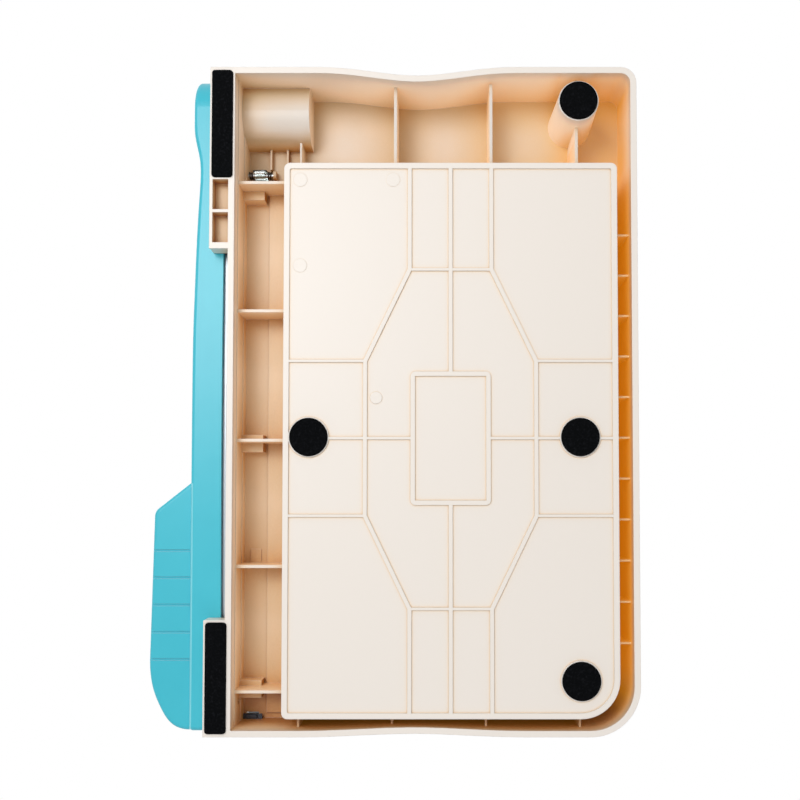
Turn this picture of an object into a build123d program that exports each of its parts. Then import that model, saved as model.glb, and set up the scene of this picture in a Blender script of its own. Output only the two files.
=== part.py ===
from build123d import *
import math
import os

os.makedirs("parts", exist_ok=True)

# A lever-arm paper trimmer with a moulded base, in millimetres.
# X runs across the bed towards the arm, Y runs to the pivot end, Z is up.
# Places are written from the middle of the base, then moved to the machine's own middle.

# Base moulding
base_length = 380.0
base_width = 233.0
foot_proud = 1.5
deck_top = 40.0
deck_thickness = 2.5
wall = 3.5
rear_corner_radius = 9.0
front_corner_radius = 28.0
deck_edge_radius = 2.4
rear_wave_depth = 5.0
rear_wave_start = 66.0
rear_wave_length = 114.0
front_wave_depth = 2.0
front_wave_start = 74.0
front_wave_length = 126.0
overrun = 1.0

# Storage well in the base
well_from_right = 11.5
well_from_left = 31.9
well_from_front = 10.0
well_from_rear = 55.5
well_wall = 2.0
well_floor = 2.8
well_corner_radius = 3.4
well_inner_radius = 1.0
well_front_corner_radius = 22.0
lid_ledge_width = 4.0
lid_ledge_thickness = 2.4
plate_border = 3.2
plate_recess = 0.8
plate_rib_width = 2.3
plate_cross_rib_width = 1.5
plate_side_rib_offset = 23.2
plate_outer_rib_offset = 48.4
plate_far_rib_offset = 96.0
plate_near_rib_offset = 43.8
plate_frame_width = 45.4
plate_frame_length = 75.6
plate_frame_rib = 2.6
plate_frame_radius = 2.9
gate_mark_radius = 3.4
gate_mark_height = 0.3
gate_mark_right = 42.2
gate_mark_rear = 22.9
ejector_mark_radius = 3.9
ejector_mark_height = 0.15
ejector_mark_from_left = 9.1
ejector_mark_from_rear = 9.5
ejector_mark_step_across = 52.9
ejector_mark_step_along = 49.3

# Rubber feet
foot_radius = 10.75
foot_thickness = 2.3
foot_gap = 0.12
foot_ring = 0.75
foot_edge_radius = 0.5
well_foot_from_left = 14.5
outer_foot_from_right = 21.6
mid_foot_rear = 0.6
front_foot_from_front = 21.0
column_from_right = 33.1
column_from_rear = 19.6
column_root_radius = 12.9
pad_width = 11.7
pad_length = 61.6
pad_from_edge = 1.4
rear_pad_from_end = 2.2
front_pad_from_end = 2.02
pad_corner_radius = 1.7

# Ledges under the arm
ledge_thickness = 10.3
rear_ledge_width = 10.8
rear_ledge_length = 104.7
front_ledge_width = 12.2
front_ledge_length = 65.0
ledge_pocket_wall = 1.9
ledge_pocket_depth = 7.6
ledge_pocket_length = 17.3
ledge_edge_radius = 0.6

# Ribs under the deck
rib_rim_gap = 8.5
rib_thickness = 1.7
wave_bite = 2.5
channel_rib_count = 5
channel_rib_from_rear = 63.7
channel_rib_from_front = 23.1
channel_rib_shift = (0.0, -1.6, -3.1, -2.1, 0.1)
channel_ceiling_drop = 6.7
channel_ledge_from_edge = 18.2
channel_ledge_drop = 1.5
channel_ledge_front_gap = 3.3
channel_step_height = 8.0
channel_step_rise = 14.0
channel_step_depth = 0.5
boss_width = 13.2
boss_rear_reach = 3.9
boss_front_reach = 6.1
boss_drop = 8.8
boss_ribs = (0, 2, 4)
pad_boss_from_edge = 11.0
pad_boss_width = 6.4
pad_boss_reach = 8.8
pad_boss_drop = 0.6
pad_boss_rib = 3
gap_rib_count = 11
gap_rib_from_rear = 94.7
gap_rib_from_front = 50.8
gap_rib_thickness = 1.1
front_rib_count = 4
front_rib_from_left = 40.0
front_rib_from_right = 32.8
cavity_rib_count = 2
cavity_rib_from_left = 94.0
cavity_rib_from_right = 83.5

# Pivot at the rear corner
pivot_from_rear = 18.0
pivot_height = 34.0
housing_radius = 17.0
housing_rear_rise = 3.0
housing_length = 40.0
chamber_radius = 13.6
chamber_wall = 2.7
ear_thickness = 6.0
pivot_cover_wall = 2.6
pivot_cover_flange = 9.5
pivot_cover_flange_thickness = 2.4
cover_screw_offset = 8.5
cover_screw_length = 4.2
bolt_radius = 4.0
bolt_tail = 2.4
bolt_head_across_flats = 13.0
bolt_head_thickness = 5.3
running_clearance = 0.06
thread_clearance = 0.03
washer_thickness = 1.6
washer_radius = 8.6
thrust_washer_radius = 11.0
nut_thickness = 7.4
nut_collar_radius = 5.6
nut_collar_height = 1.8
pivot_spring_wire = 1.6
pivot_spring_radius = 6.4
pivot_spring_pitch = 3.3
pivot_spring_turns = 6
web_rib_from_edge = (18.3, 28.3, 37.9)
web_rib_length = (12.2, 10.0, 21.0)
web_rib_height = (4.0, 4.0, 14.0)

# Knives
knife_thickness = 1.5
knife_height = 13.0
knife_proud = 0.6
knife_front_gap = 4.0
knife_rear_gap = 40.0
knife_screw_radius = 1.9
knife_screw_head_radius = 3.4
knife_screw_length = 13.0
blade_clearance = 0.3
blade_thickness = 1.6
blade_height = 23.5
blade_bevel = 1.1
blade_bevel_rise = 6.0
blade_bow = 1.1
blade_front_gap = 4.5
blade_from_pivot = 23.5
carrier_thickness = 1.8
carrier_height = 20.0
blade_screw_count = 6
blade_screw_from_front = 43.5
blade_screw_from_rear = 20.5
blade_screw_radius = 1.9
blade_screw_head_radius = 3.6
blade_screw_head_depth = 1.5
blade_screw_length = 13.0
blade_screw_drop = 8.5
blade_boss_radius = 3.8
blade_boss_skin = 1.2
screw_gap = 0.06

# Arm
arm_ledge_gap = 0.4
arm_width = 18.7
arm_waist = 3.1
arm_waist_near = 30.0
arm_waist_far = 54.0
arm_swell_from_pivot = 112.0
arm_swell = 0.8
arm_swell_from_handle = 34.0
arm_hub_flat = 10.9
arm_front_gap = 0.3
arm_front_height = 26.0
arm_neck_height = 33.0
arm_neck_from_pivot = 62.0
arm_edge_radius = 2.2
arm_wall = 2.4
hub_gap = 0.3
hub_blade_gap = 6.0
bush_radius = 6.5
hub_web = 12.0
hub_recess_radius = 9.6
cap_gap = 0.3
cap_thickness = 2.2
cap_edge_radius = 0.9
cap_play = 0.1
neck_radius = 60.0
arm_end_radius = 3.0

# Handle
handle_reach = 23.6
handle_length = 142.5
handle_shoulder = 17.0
handle_shoulder_reach = 21.5
handle_shoulder_radius = 6.0
handle_nose_length = 40.0
handle_bottom_step = 2.4
handle_split = 12.6
handle_height = 21.2
handle_wall = 2.4
handle_edge_radius = 2.2
groove_count = 5
groove_pitch = 15.6
groove_from_shoulder = 22.7
groove_width = 1.2
groove_depth = 0.7
handle_screw_radius = 1.7
handle_screw_head_radius = 3.3
handle_screw_head = 1.9
handle_screw_length = 13.0
handle_screw_pitch = 46.0
handle_screw_count = 3
handle_boss_radius = 3.9
handle_boss_length = 8.2

# Arm lock
lock_from_front = 16.0
lock_height = 19.5
lock_bolt_radius = 1.6
lock_bolt_length = 17.0
lock_tip_gap = 0.5
lock_travel = 5.0
lock_hole_gap = 0.35
lock_eye_radius = 2.7
lock_stem_width = 4.0
lock_stem_thickness = 2.6
lock_stem_from_tip = 10.0
lock_button_length = 15.0
lock_button_width = 8.5
lock_button_height = 2.6
lock_button_gap = 0.35
lock_button_edge = 0.8
lock_slot_gap = 0.4

# Clamp bar along the cut
clamp_bar_width = 17.5
clamp_behind_pin = 4.2
clamp_bar_thickness = 2.2
clamp_from_edge = 1.2
clamp_guard_height = 9.5
clamp_guard_thickness = 2.0
clamp_strip_width = 6.0
clamp_strip_thickness = 1.0
clamp_strip_front_gap = 13.2
clamp_strip_rear_gap = 5.6
clamp_rest_gap = 0.4
clamp_lift = 1.0
clamp_pin_from_rear = 51.0
clamp_pin_below_deck = 6.2
clamp_pin_radius = 1.25
clamp_pin_length = 19.2
clamp_pin_from_edge = 11.9
clamp_lug_width = 6.2
clamp_lug_length = 5.6
clamp_tail_width = 2.4
clamp_front_gap = 3.0
clamp_tail_drop = 5.0
clamp_slot_gap = 0.8
pin_ear_thickness = 1.6
spring_wire = 0.8
spring_bore_gap = 0.4
spring_pitch = 1.3
spring_turns = 2
spring_gap = 0.5
spring_leg = 3.4
spring_bridge_drop = 2.2
spring_bend = 1.1
hook_width = 7.0
hook_thickness = 0.6
hook_lip = 1.0
hook_lip_height = 0.8
hook_from_front = 4.95
hook_from_edge = 9.5
hook_slot_gap = 0.6
catch_width = 11.2
catch_thickness = 0.6
catch_shelf = 3.1
catch_below_deck = 12.5
catch_slot_length = 7.9
catch_slot_width = 1.6
catch_wall_gap = 0.4

# Lid over the well
lid_thickness = 2.8
lid_gap = 0.6
lid_pin_radius = 0.8
lid_pin_length = 12.0
lid_pin_seat = 4.0
lid_notch_radius = 12.0
lid_notch_depth = 10.0
lid_rib_height = 1.6
lid_rib_thickness = 1.4
lid_rib_inset = 9.0

# Paper stop
fence_width = 10.0
fence_height = 5.0
fence_from_well = 4.2
fence_side_gap = 4.5
fence_clamp_gap = 2.0
fence_edge_radius = 1.0
scale_width = 7.0
scale_thickness = 0.5
scale_end_gap = 3.0
fence_screw_radius = 1.6
fence_screw_head_radius = 2.9
fence_screw_head_depth = 1.3
fence_screw_length = 8.0
fence_screw_count = 3
fence_boss_radius = 3.6
fence_boss_height = 5.0

# Worked out from the sizes above
half_width = base_width / 2
half_length = base_length / 2
rim = foot_proud
deck_under = deck_top - deck_thickness
channel_ceiling = deck_under - channel_ceiling_drop
left_inner = half_width - wall
right_inner = -half_width + wall
rear_inner = half_length - wall
front_inner = -half_length + wall
well_right = -half_width + well_from_right
well_left = half_width - well_from_left
well_front = -half_length + well_from_front
well_rear = half_length - well_from_rear
well_mid_x = (well_left + well_right) / 2
well_mid_y = (well_front + well_rear) / 2
panel_level = rim + plate_recess
floor_top = rim + well_floor
ledge_top = rim + ledge_thickness
lid_hinge_front = well_front + well_front_corner_radius + lid_gap
lid_bottom = deck_top - lid_thickness
lid_pin_x = well_right + well_wall + lid_gap + lid_thickness / 2
lid_pin_z = deck_top - lid_thickness / 2
rib_bottom = rim + rib_rim_gap
pivot_y = half_length - pivot_from_rear
housing_right = left_inner - housing_length
ear_inner = half_width - ear_thickness
chamber_right = housing_right + chamber_wall
knife_outer = half_width + knife_proud
knife_inner = knife_outer - knife_thickness
knife_bottom = deck_top - knife_height
knife_front = -half_length + knife_front_gap
knife_rear = half_length - knife_rear_gap
blade_inner = knife_outer + blade_clearance
blade_outer = blade_inner + blade_thickness
carrier_outer = blade_outer + carrier_thickness
arm_bottom = ledge_top + arm_ledge_gap
hub_radius = pivot_height - arm_bottom
arm_outer = carrier_outer + arm_width
arm_front = -half_length + arm_front_gap
blade_front = -half_length + blade_front_gap
blade_rear = pivot_y - blade_from_pivot
blade_length = blade_rear - blade_front
blade_top = arm_bottom + blade_height
hub_inner = half_width + washer_thickness + hub_gap
hub_web_outer = hub_inner + hub_web
handle_outer = arm_outer + handle_reach
handle_rear = arm_front + handle_length
handle_bottom = arm_bottom + handle_bottom_step
handle_screw_z = handle_bottom + handle_split / 2
lock_tip = blade_inner + lock_tip_gap
lock_stem_x = lock_tip + lock_stem_from_tip
origin_x = (handle_outer - half_width) / 2
origin_y = (pivot_y + hub_radius - half_length) / 2
knife_screw_z = deck_top - knife_height / 2
channel_rear_rib = half_length - channel_rib_from_rear
channel_front_rib = -half_length + channel_rib_from_front
first_blade_screw = blade_front + blade_screw_from_front
last_blade_screw = blade_rear - blade_screw_from_rear
blade_screw_z = blade_top - blade_screw_drop
lock_y = -half_length + lock_from_front
lock_z = lock_height
well_foot_x = well_left - well_foot_from_left
outer_foot_x = well_right + outer_foot_from_right
front_foot_y = well_front + front_foot_from_front
column_x = -half_width + column_from_right
column_y = half_length - column_from_rear
foot_places = [(well_foot_x, well_mid_y + mid_foot_rear), (outer_foot_x, well_mid_y + mid_foot_rear)]
foot_places += [(outer_foot_x, front_foot_y), (column_x, column_y)]
clamp_pin_y = half_length - clamp_pin_from_rear
clamp_pin_z = deck_top - clamp_pin_below_deck
clamp_left = half_width - clamp_from_edge
clamp_right = clamp_left - clamp_bar_width
clamp_mid_x = half_width - clamp_pin_from_edge
clamp_front = -half_length + clamp_front_gap
clamp_bottom = deck_top + clamp_rest_gap
clamp_rear = clamp_pin_y + clamp_behind_pin
fence_front = well_rear + fence_from_well
fence_mid_y = fence_front + fence_width / 2
hook_y = -half_length + hook_from_front
hook_x = half_width - hook_from_edge
catch_bottom = deck_top - catch_below_deck


def spread(first, last, count):
    """Evenly spaced places from the first to the last."""
    return [first + (last - first) * k / (count - 1) for k in range(count)]


channel_rib_grid = spread(channel_rear_rib, channel_front_rib, channel_rib_count)
channel_rib_places = [y + shift for y, shift in zip(channel_rib_grid, channel_rib_shift)]
knife_screw_places = [y + (boss_rear_reach - boss_front_reach) / 2 for y in channel_rib_places]
blade_screw_places = spread(first_blade_screw, last_blade_screw, blade_screw_count)


def block(x0, x1, y0, y1, z0, z1):
    """A straight-sided block between two corners."""
    return Pos((x0 + x1) / 2, (y0 + y1) / 2, (z0 + z1) / 2) * Box(abs(x1 - x0), abs(y1 - y0), abs(z1 - z0))


def rod_x(y, z, x0, x1, radius):
    """A round bar along X."""
    return Pos((x0 + x1) / 2, y, z) * Rot(0, 90, 0) * Cylinder(radius, abs(x1 - x0))


def rod_y(x, z, y0, y1, radius):
    """A round bar along Y."""
    return Pos(x, (y0 + y1) / 2, z) * Rot(90, 0, 0) * Cylinder(radius, abs(y1 - y0))


def rod_z(x, y, z0, z1, radius):
    """A round bar along Z."""
    return Pos(x, y, (z0 + z1) / 2) * Cylinder(radius, abs(z1 - z0))


def cone_x(y, z, x0, x1, radius0, radius1):
    """A tapered bar along X, from radius0 at x0 to radius1 at x1."""
    return Pos((x0 + x1) / 2, y, z) * Rot(0, 90, 0) * Cone(radius0, radius1, x1 - x0)


def raised(face, z0, z1):
    """A flat outline carried up from z0 to z1."""
    return extrude(Pos(0, 0, z0) * face, amount=z1 - z0)


def strip(start, end, width, z0, z1):
    """A straight rib between two points in plan."""
    dx = end[0] - start[0]
    dy = end[1] - start[1]
    turn = math.degrees(math.atan2(dy, dx))
    place = Pos((start[0] + end[0]) / 2, (start[1] + end[1]) / 2, (z0 + z1) / 2)
    return place * Rot(0, 0, turn) * Box(math.hypot(dx, dy), width, z1 - z0)


def base_outline(inset):
    """The base seen from below: square corners at the cut, round ones opposite, waved ends."""
    left = half_width - inset
    rear = half_length - inset
    rear_radius = rear_corner_radius - inset
    front_radius = front_corner_radius - inset
    rear_wave_end = rear_wave_start - rear_wave_length
    front_wave_end = front_wave_start - front_wave_length
    rear_dip = (rear_wave_start - rear_wave_length / 2, rear - rear_wave_depth)
    front_dip = (front_wave_start - front_wave_length / 2, -rear + front_wave_depth)
    edges = [
        Line((left, -rear), (left, rear)),
        Line((left, rear), (rear_wave_start, rear)),
        Spline((rear_wave_start, rear), rear_dip, (rear_wave_end, rear), tangents=((-1, 0), (-1, 0))),
        Line((rear_wave_end, rear), (-left + rear_radius, rear)),
        CenterArc((-left + rear_radius, rear - rear_radius), rear_radius, 90, 90),
        Line((-left, rear - rear_radius), (-left, -rear + front_radius)),
        CenterArc((-left + front_radius, -rear + front_radius), front_radius, 180, 90),
        Line((-left + front_radius, -rear), (front_wave_end, -rear)),
        Spline((front_wave_end, -rear), front_dip, (front_wave_start, -rear), tangents=((1, 0), (1, 0))),
        Line((front_wave_start, -rear), (left, -rear)),
    ]
    return make_face(edges)


def well_outline(inset):
    """The storage well in plan, with one large corner at the front right."""
    left = well_left - inset
    right = well_right + inset
    rear = well_rear - inset
    front = well_front + inset
    small = max(well_corner_radius - inset, well_inner_radius)
    large = well_front_corner_radius - inset
    edges = [
        Line((left, front + small), (left, rear - small)),
        CenterArc((left - small, rear - small), small, 0, 90),
        Line((left - small, rear), (right + small, rear)),
        CenterArc((right + small, rear - small), small, 90, 90),
        Line((right, rear - small), (right, front + large)),
        CenterArc((right + large, front + large), large, 180, 90),
        Line((right + large, front), (left - small, front)),
        CenterArc((left - small, front + small), small, 270, 90),
    ]
    return make_face(edges)


def plate_ribs():
    """The thin ribs that stiffen the well floor, set out from its middle."""
    top = well_rear
    bottom = well_front
    x = well_mid_x
    y = well_mid_y
    frame_top = y + plate_frame_length / 2
    frame_bottom = y - plate_frame_length / 2
    ribs = [
        strip((x, frame_top), (x, top), plate_rib_width, rim, panel_level),
        strip((x, bottom), (x, frame_bottom), plate_rib_width, rim, panel_level),
    ]
    for side in (-1, 1):
        inner_x = x + side * plate_side_rib_offset
        outer_x = x + side * plate_outer_rib_offset
        edge_x = well_left if side > 0 else well_right
        frame_x = x + side * plate_frame_width / 2
        near = plate_near_rib_offset
        far = plate_far_rib_offset
        ribs.append(strip((outer_x, y - near), (outer_x, y + near), plate_rib_width, rim, panel_level))
        ribs.append(strip((frame_x, y), (edge_x, y), plate_cross_rib_width, rim, panel_level))
        for end in (-1, 1):
            edge_y = top if end > 0 else bottom
            far_y = y + end * far
            near_y = y + end * near
            ribs.append(strip((inner_x, far_y), (inner_x, edge_y), plate_rib_width, rim, panel_level))
            ribs.append(strip((inner_x, far_y), (outer_x, near_y), plate_rib_width, rim, panel_level))
            ribs.append(strip((outer_x, near_y), (edge_x, near_y), plate_cross_rib_width, rim, panel_level))
            ribs.append(strip((x, far_y), (inner_x, far_y), plate_cross_rib_width, rim, panel_level))
    outer = RectangleRounded(plate_frame_width, plate_frame_length, plate_frame_radius)
    inner_width = plate_frame_width - 2 * plate_frame_rib
    inner_length = plate_frame_length - 2 * plate_frame_rib
    inner = Rectangle(inner_width, inner_length)
    ring = raised(Pos(x, y) * (outer - inner), rim, panel_level)
    gate_bottom = panel_level - gate_mark_height
    gate = rod_z(x + gate_mark_right, y + gate_mark_rear, gate_bottom, panel_level, gate_mark_radius)
    marks = []
    for across, along in ((0, 0), (1, 0), (0, 1)):
        mark_x = well_left - ejector_mark_from_left - across * ejector_mark_step_across
        mark_y = well_rear - ejector_mark_from_rear - along * ejector_mark_step_along
        bottom = panel_level - ejector_mark_height
        marks.append(rod_z(mark_x, mark_y, bottom, floor_top - overrun, ejector_mark_radius))
    return ribs + [ring, gate] + marks


def housing_profile():
    """The pivot housing's section: a low arch from the rear wall, then a quarter round to the deck."""
    crest = pivot_height - housing_radius
    rise = housing_rear_rise
    run = rear_inner - pivot_y
    back_radius = (run * run + rise * rise) / (2 * rise)
    half_turn = math.asin(run / back_radius) / 2
    back_mid = (pivot_y + back_radius * math.sin(half_turn), crest + back_radius * (1 - math.cos(half_turn)))
    bend = math.radians(45)
    nose_mid = (pivot_y - housing_radius * math.sin(bend), pivot_height - housing_radius * math.cos(bend))
    edges = [
        ThreePointArc((rear_inner, crest + rise), back_mid, (pivot_y, crest)),
        ThreePointArc((pivot_y, crest), nose_mid, (pivot_y - housing_radius, pivot_height)),
        Line((pivot_y - housing_radius, pivot_height), (pivot_y - housing_radius, deck_top)),
        Line((pivot_y - housing_radius, deck_top), (rear_inner, deck_top)),
        Line((rear_inner, deck_top), (rear_inner, crest + rise)),
    ]
    return make_face(edges)


def make_ledges():
    """Two outriggers under the arm, with open pockets and a seat for each long pad."""
    rear_x = half_width + rear_ledge_width
    rear_front = half_length - rear_ledge_length
    front_x = half_width + front_ledge_width
    front_rear = -half_length + front_ledge_length
    rear_block = block(half_width - wall, rear_x, rear_front, half_length, rim, ledge_top)
    front_block = block(half_width - wall, front_x, -half_length, front_rear, rim, ledge_top)
    rear_block = fillet(rear_block.faces().sort_by(Axis.X)[-1].edges(), ledge_edge_radius)
    front_block = fillet(front_block.faces().sort_by(Axis.X)[-1].edges(), ledge_edge_radius)
    pockets = []
    for k in range(2):
        y0 = rear_front + wall + k * (ledge_pocket_length + rib_thickness)
        x1 = rear_x - ledge_pocket_wall
        pockets.append(block(half_width, x1, y0, y0 + ledge_pocket_length, 0, rim + ledge_pocket_depth))
    return [rear_block, front_block], pockets


def pad_place(front):
    """The middle of a long pad in plan."""
    reach = front_ledge_width if front else rear_ledge_width
    x = half_width + reach - pad_from_edge - pad_width / 2
    if front:
        return x, -half_length + front_pad_from_end + pad_length / 2
    return x, half_length - rear_pad_from_end - pad_length / 2


def make_pad(front, z0, z1, gap):
    """A long pad, or the seat for it when a gap is added all round."""
    x, y = pad_place(front)
    shape = RectangleRounded(pad_width + 2 * gap, pad_length + 2 * gap, pad_corner_radius + gap)
    return raised(Pos(x, y) * shape, z0, z1)


def channel_details():
    """The channel beside the cut: thick ceiling, a ledge along the well, wall steps, ribs and bosses."""
    pieces = []
    rear = channel_rib_places[0]
    above = deck_under + deck_thickness / 2
    slab_front = front_inner - wall / 2
    slab_left = left_inner + wall / 2
    pieces.append(block(well_left - well_wall / 2, slab_left, slab_front, rear, channel_ceiling, above))
    ledge_x = half_width - channel_ledge_from_edge
    ledge_y = front_inner + channel_ledge_front_gap
    ledge_z = channel_ceiling - channel_ledge_drop
    pieces.append(block(well_left - well_wall / 2, ledge_x, ledge_y, rear, ledge_z, above))
    for k in range(2):
        level = rim + channel_step_height + k * channel_step_rise
        depth = channel_step_depth * (k + 1)
        pieces.append(block(left_inner - depth, left_inner, front_inner, rear_inner, level, deck_under))
    for y in channel_rib_places:
        y0 = y - rib_thickness / 2
        pieces.append(block(well_left, left_inner, y0, y0 + rib_thickness, rib_bottom, deck_under))
    boss_bottom = channel_ceiling - boss_drop
    for k in boss_ribs:
        y = channel_rib_places[k]
        y0 = y - boss_front_reach
        y1 = y + boss_rear_reach
        pieces.append(block(left_inner - boss_width, left_inner, y0, y1, boss_bottom, above))
    pad_x = left_inner - pad_boss_from_edge
    pad_y = channel_rib_places[pad_boss_rib]
    pad_z = channel_ceiling - pad_boss_drop
    pieces.append(block(pad_x, pad_x + pad_boss_width, pad_y, pad_y + pad_boss_reach, pad_z, above))
    return pieces


def deck_ribs():
    """The ribs behind the well, in the gap beside it and in front of it."""
    pieces = []
    cavity_rib_last = -half_width + cavity_rib_from_right
    for x in spread(half_width - cavity_rib_from_left, cavity_rib_last, cavity_rib_count):
        pieces.append(block(x - rib_thickness, x, well_rear, rear_inner - wave_bite, rib_bottom, deck_under))
    x0 = column_x - rib_thickness / 2
    pieces.append(block(x0, x0 + rib_thickness, well_rear, rear_inner, rib_bottom, deck_under))
    for y in spread(half_length - gap_rib_from_rear, -half_length + gap_rib_from_front, gap_rib_count):
        y0 = y - gap_rib_thickness / 2
        pieces.append(block(right_inner, well_right, y0, y0 + gap_rib_thickness, rib_bottom, deck_under))
    for x in spread(half_width - front_rib_from_left, -half_width + front_rib_from_right, front_rib_count):
        x0 = x - gap_rib_thickness / 2
        pieces.append(block(x0, x0 + gap_rib_thickness, front_inner, well_front, rib_bottom, deck_under))
    return pieces


def foot_column():
    """The round column that carries the fourth foot, wider at the deck."""
    height = deck_under - rim
    place = Pos(column_x, column_y, rim + height / 2)
    return place * Cone(foot_radius + foot_ring, column_root_radius, height)


def pivot_block():
    """The pivot housing under the deck, the ear that stands above it and three web ribs."""
    housing = extrude(Plane.YZ * housing_profile(), amount=housing_length)
    ear = rod_x(pivot_y, pivot_height, ear_inner, half_width, housing_radius)
    pieces = [Pos(housing_right, 0, 0) * housing, ear]
    y0 = pivot_y - housing_radius
    for from_edge, length, height in zip(web_rib_from_edge, web_rib_length, web_rib_height):
        x0 = half_width - from_edge - gap_rib_thickness / 2
        pieces.append(block(x0, x0 + gap_rib_thickness, y0 - length, y0, deck_under - height, deck_under))
    return pieces


def clamp_ear():
    """An ear for one end of the clamp bar's hinge pin; the other end is in the wall."""
    x0 = clamp_mid_x - clamp_pin_length / 2
    x1 = x0 + pin_ear_thickness
    y0 = clamp_pin_y - clamp_lug_length / 2
    ear = block(x0, x1, y0, y0 + clamp_lug_length, clamp_pin_z, deck_under)
    return ear + rod_x(clamp_pin_y, clamp_pin_z, x0, x1, clamp_lug_length / 2)


def make_base():
    """The base: skirt, deck, well, ribs, foot column, pivot housing and ledges in one moulding."""
    body = raised(base_outline(0), rim, deck_top)
    body = fillet(body.faces().sort_by(Axis.Z)[-1].edges(), deck_edge_radius)
    body -= raised(base_outline(wall), 0, deck_under)
    ledges, pockets = make_ledges()
    fence_bosses = [rod_z(x, fence_mid_y, deck_under - fence_boss_height, deck_under, fence_boss_radius)
                    for x in fence_screw_places()]
    well = raised(well_outline(0), rim, deck_top)
    pieces = ledges + [well] + channel_details() + deck_ribs() + [foot_column()]
    for piece in pieces + pivot_block() + [clamp_ear()] + fence_bosses:
        body += piece
    return cut_base(body, pockets)


def fence_span():
    """The paper stop runs from the right-hand wall to just short of the clamp bar."""
    return -half_width + fence_side_gap, clamp_right - fence_clamp_gap


def fence_screw_places():
    """The stop's screws, evenly spread between its ends."""
    x0, x1 = fence_span()
    step = (x1 - x0) / fence_screw_count
    return [x0 + step * (k + 0.5) for k in range(fence_screw_count)]


def well_cuts():
    """The well's hollow, the seat for its lid and the finger notch."""
    seat_bottom = lid_bottom - lid_ledge_thickness
    above = deck_top + overrun
    cuts = [
        raised(well_outline(well_wall), floor_top, seat_bottom),
        raised(well_outline(well_wall + lid_ledge_width), floor_top, above),
        raised(well_outline(well_wall), lid_bottom, above),
    ]
    hinge_x = well_right + well_wall
    hinge_y = well_front + well_front_corner_radius
    hinge_end = hinge_x + lid_ledge_width + overrun
    cuts.append(block(hinge_x, hinge_end, hinge_y, well_rear - well_wall, floor_top, above))
    notch_x = well_left - well_wall - lid_gap + lid_notch_radius - lid_notch_depth
    notch = rod_z(notch_x, well_mid_y, floor_top, lid_bottom + overrun, lid_notch_radius + lid_gap)
    reach = lid_notch_radius + lid_gap + overrun
    inner_x = well_left - well_wall
    keep = block(inner_x - lid_ledge_width - overrun, inner_x,
                 well_mid_y - reach, well_mid_y + reach, floor_top, deck_top)
    return cuts + [notch & keep]


def clamp_cuts():
    """Slots through the deck for the clamp bar's lug and hook, and the hinge pin's hole."""
    x = clamp_mid_x
    lug_x = clamp_lug_width / 2 + clamp_slot_gap
    lug_y = clamp_lug_length / 2 + clamp_slot_gap
    above = deck_top + overrun
    lug = block(x - lug_x, x + lug_x, clamp_pin_y - lug_y, clamp_pin_y + lug_y, clamp_pin_z, above)
    half_slot = hook_width / 2 + hook_slot_gap
    y0 = hook_y - hook_thickness / 2 - hook_slot_gap
    y1 = hook_y + hook_thickness / 2 + hook_slot_gap + hook_lip
    hook = block(hook_x - half_slot, hook_x + half_slot, y0, y1, channel_ceiling - overrun, above)
    reach = clamp_pin_length / 2
    pin = rod_x(clamp_pin_y, clamp_pin_z, x - reach - overrun, x + reach + thread_clearance,
                clamp_pin_radius + thread_clearance)
    return [lug, hook, pin]


def pivot_cuts():
    """The spring chamber, open to the top under its cover, and the bolt's bore."""
    above = deck_top + overrun
    y0 = pivot_y - chamber_radius
    y1 = pivot_y + chamber_radius
    bore = bolt_radius + running_clearance
    return [
        rod_x(pivot_y, pivot_height, chamber_right, ear_inner, chamber_radius),
        block(chamber_right, ear_inner, y0, y1, pivot_height, above),
        rod_x(pivot_y, pivot_height, ear_inner - overrun, half_width + overrun, bore),
    ]


def hole_cuts():
    """The bed knife's rebate, and holes for screws, lid pins and the lock's bolt."""
    above = deck_top + overrun
    outside = half_width + overrun
    cuts = [block(knife_inner, outside, knife_front, knife_rear, knife_bottom, above)]
    knife_tip = knife_outer - knife_screw_length - overrun
    for y in knife_screw_places:
        cuts.append(rod_x(y, knife_screw_z, knife_tip, outside, knife_screw_radius + screw_gap))
    wall_face = left_inner - 2 * channel_step_depth - overrun
    cuts.append(rod_x(lock_y, lock_z, wall_face, outside, lock_bolt_radius + lock_hole_gap))
    boss_end = deck_under - fence_boss_height - overrun
    for x in fence_screw_places():
        cuts.append(rod_z(x, fence_mid_y, boss_end, above, fence_screw_radius + screw_gap))
    for y0, y1 in lid_pin_spans():
        cuts.append(rod_y(lid_pin_x, lid_pin_z, y0, y1, lid_pin_radius + thread_clearance))
    cover_tip = deck_top + pivot_cover_flange_thickness - cover_screw_length - screw_gap
    for x, y in cover_screw_places():
        cuts.append(rod_z(x, y, cover_tip, above, fence_screw_radius + screw_gap))
    return cuts


def cut_base(body, pockets):
    """Everything that is taken out of the base: well, seats, slots and holes."""
    for cut in well_cuts():
        body -= cut
    body -= raised(well_outline(plate_border), 0, panel_level)
    for piece in plate_ribs():
        body += piece
    for x, y in foot_places:
        body += rod_z(x, y, rim, panel_level, foot_radius + foot_ring)
        body -= rod_z(x, y, 0, panel_level, foot_radius + foot_gap)
    for front in (False, True):
        body -= make_pad(front, 0, foot_thickness, foot_gap)
    for cut in pockets + pivot_cuts() + hole_cuts() + clamp_cuts():
        body -= cut
    return body


def lid_pin_spans():
    """Each hinge pin runs from its seat in the base into the lid."""
    rear_seat = well_rear - well_wall
    front_seat = well_front + well_front_corner_radius
    return [(rear_seat - lid_pin_length + lid_pin_seat, rear_seat + lid_pin_seat),
            (front_seat - lid_pin_seat, front_seat + lid_pin_length - lid_pin_seat)]


def cover_screw_places():
    """Two screws hold the pivot cover's flange."""
    x = housing_right - pivot_cover_flange / 2
    return [(x, pivot_y - cover_screw_offset), (x, pivot_y + cover_screw_offset)]


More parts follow.
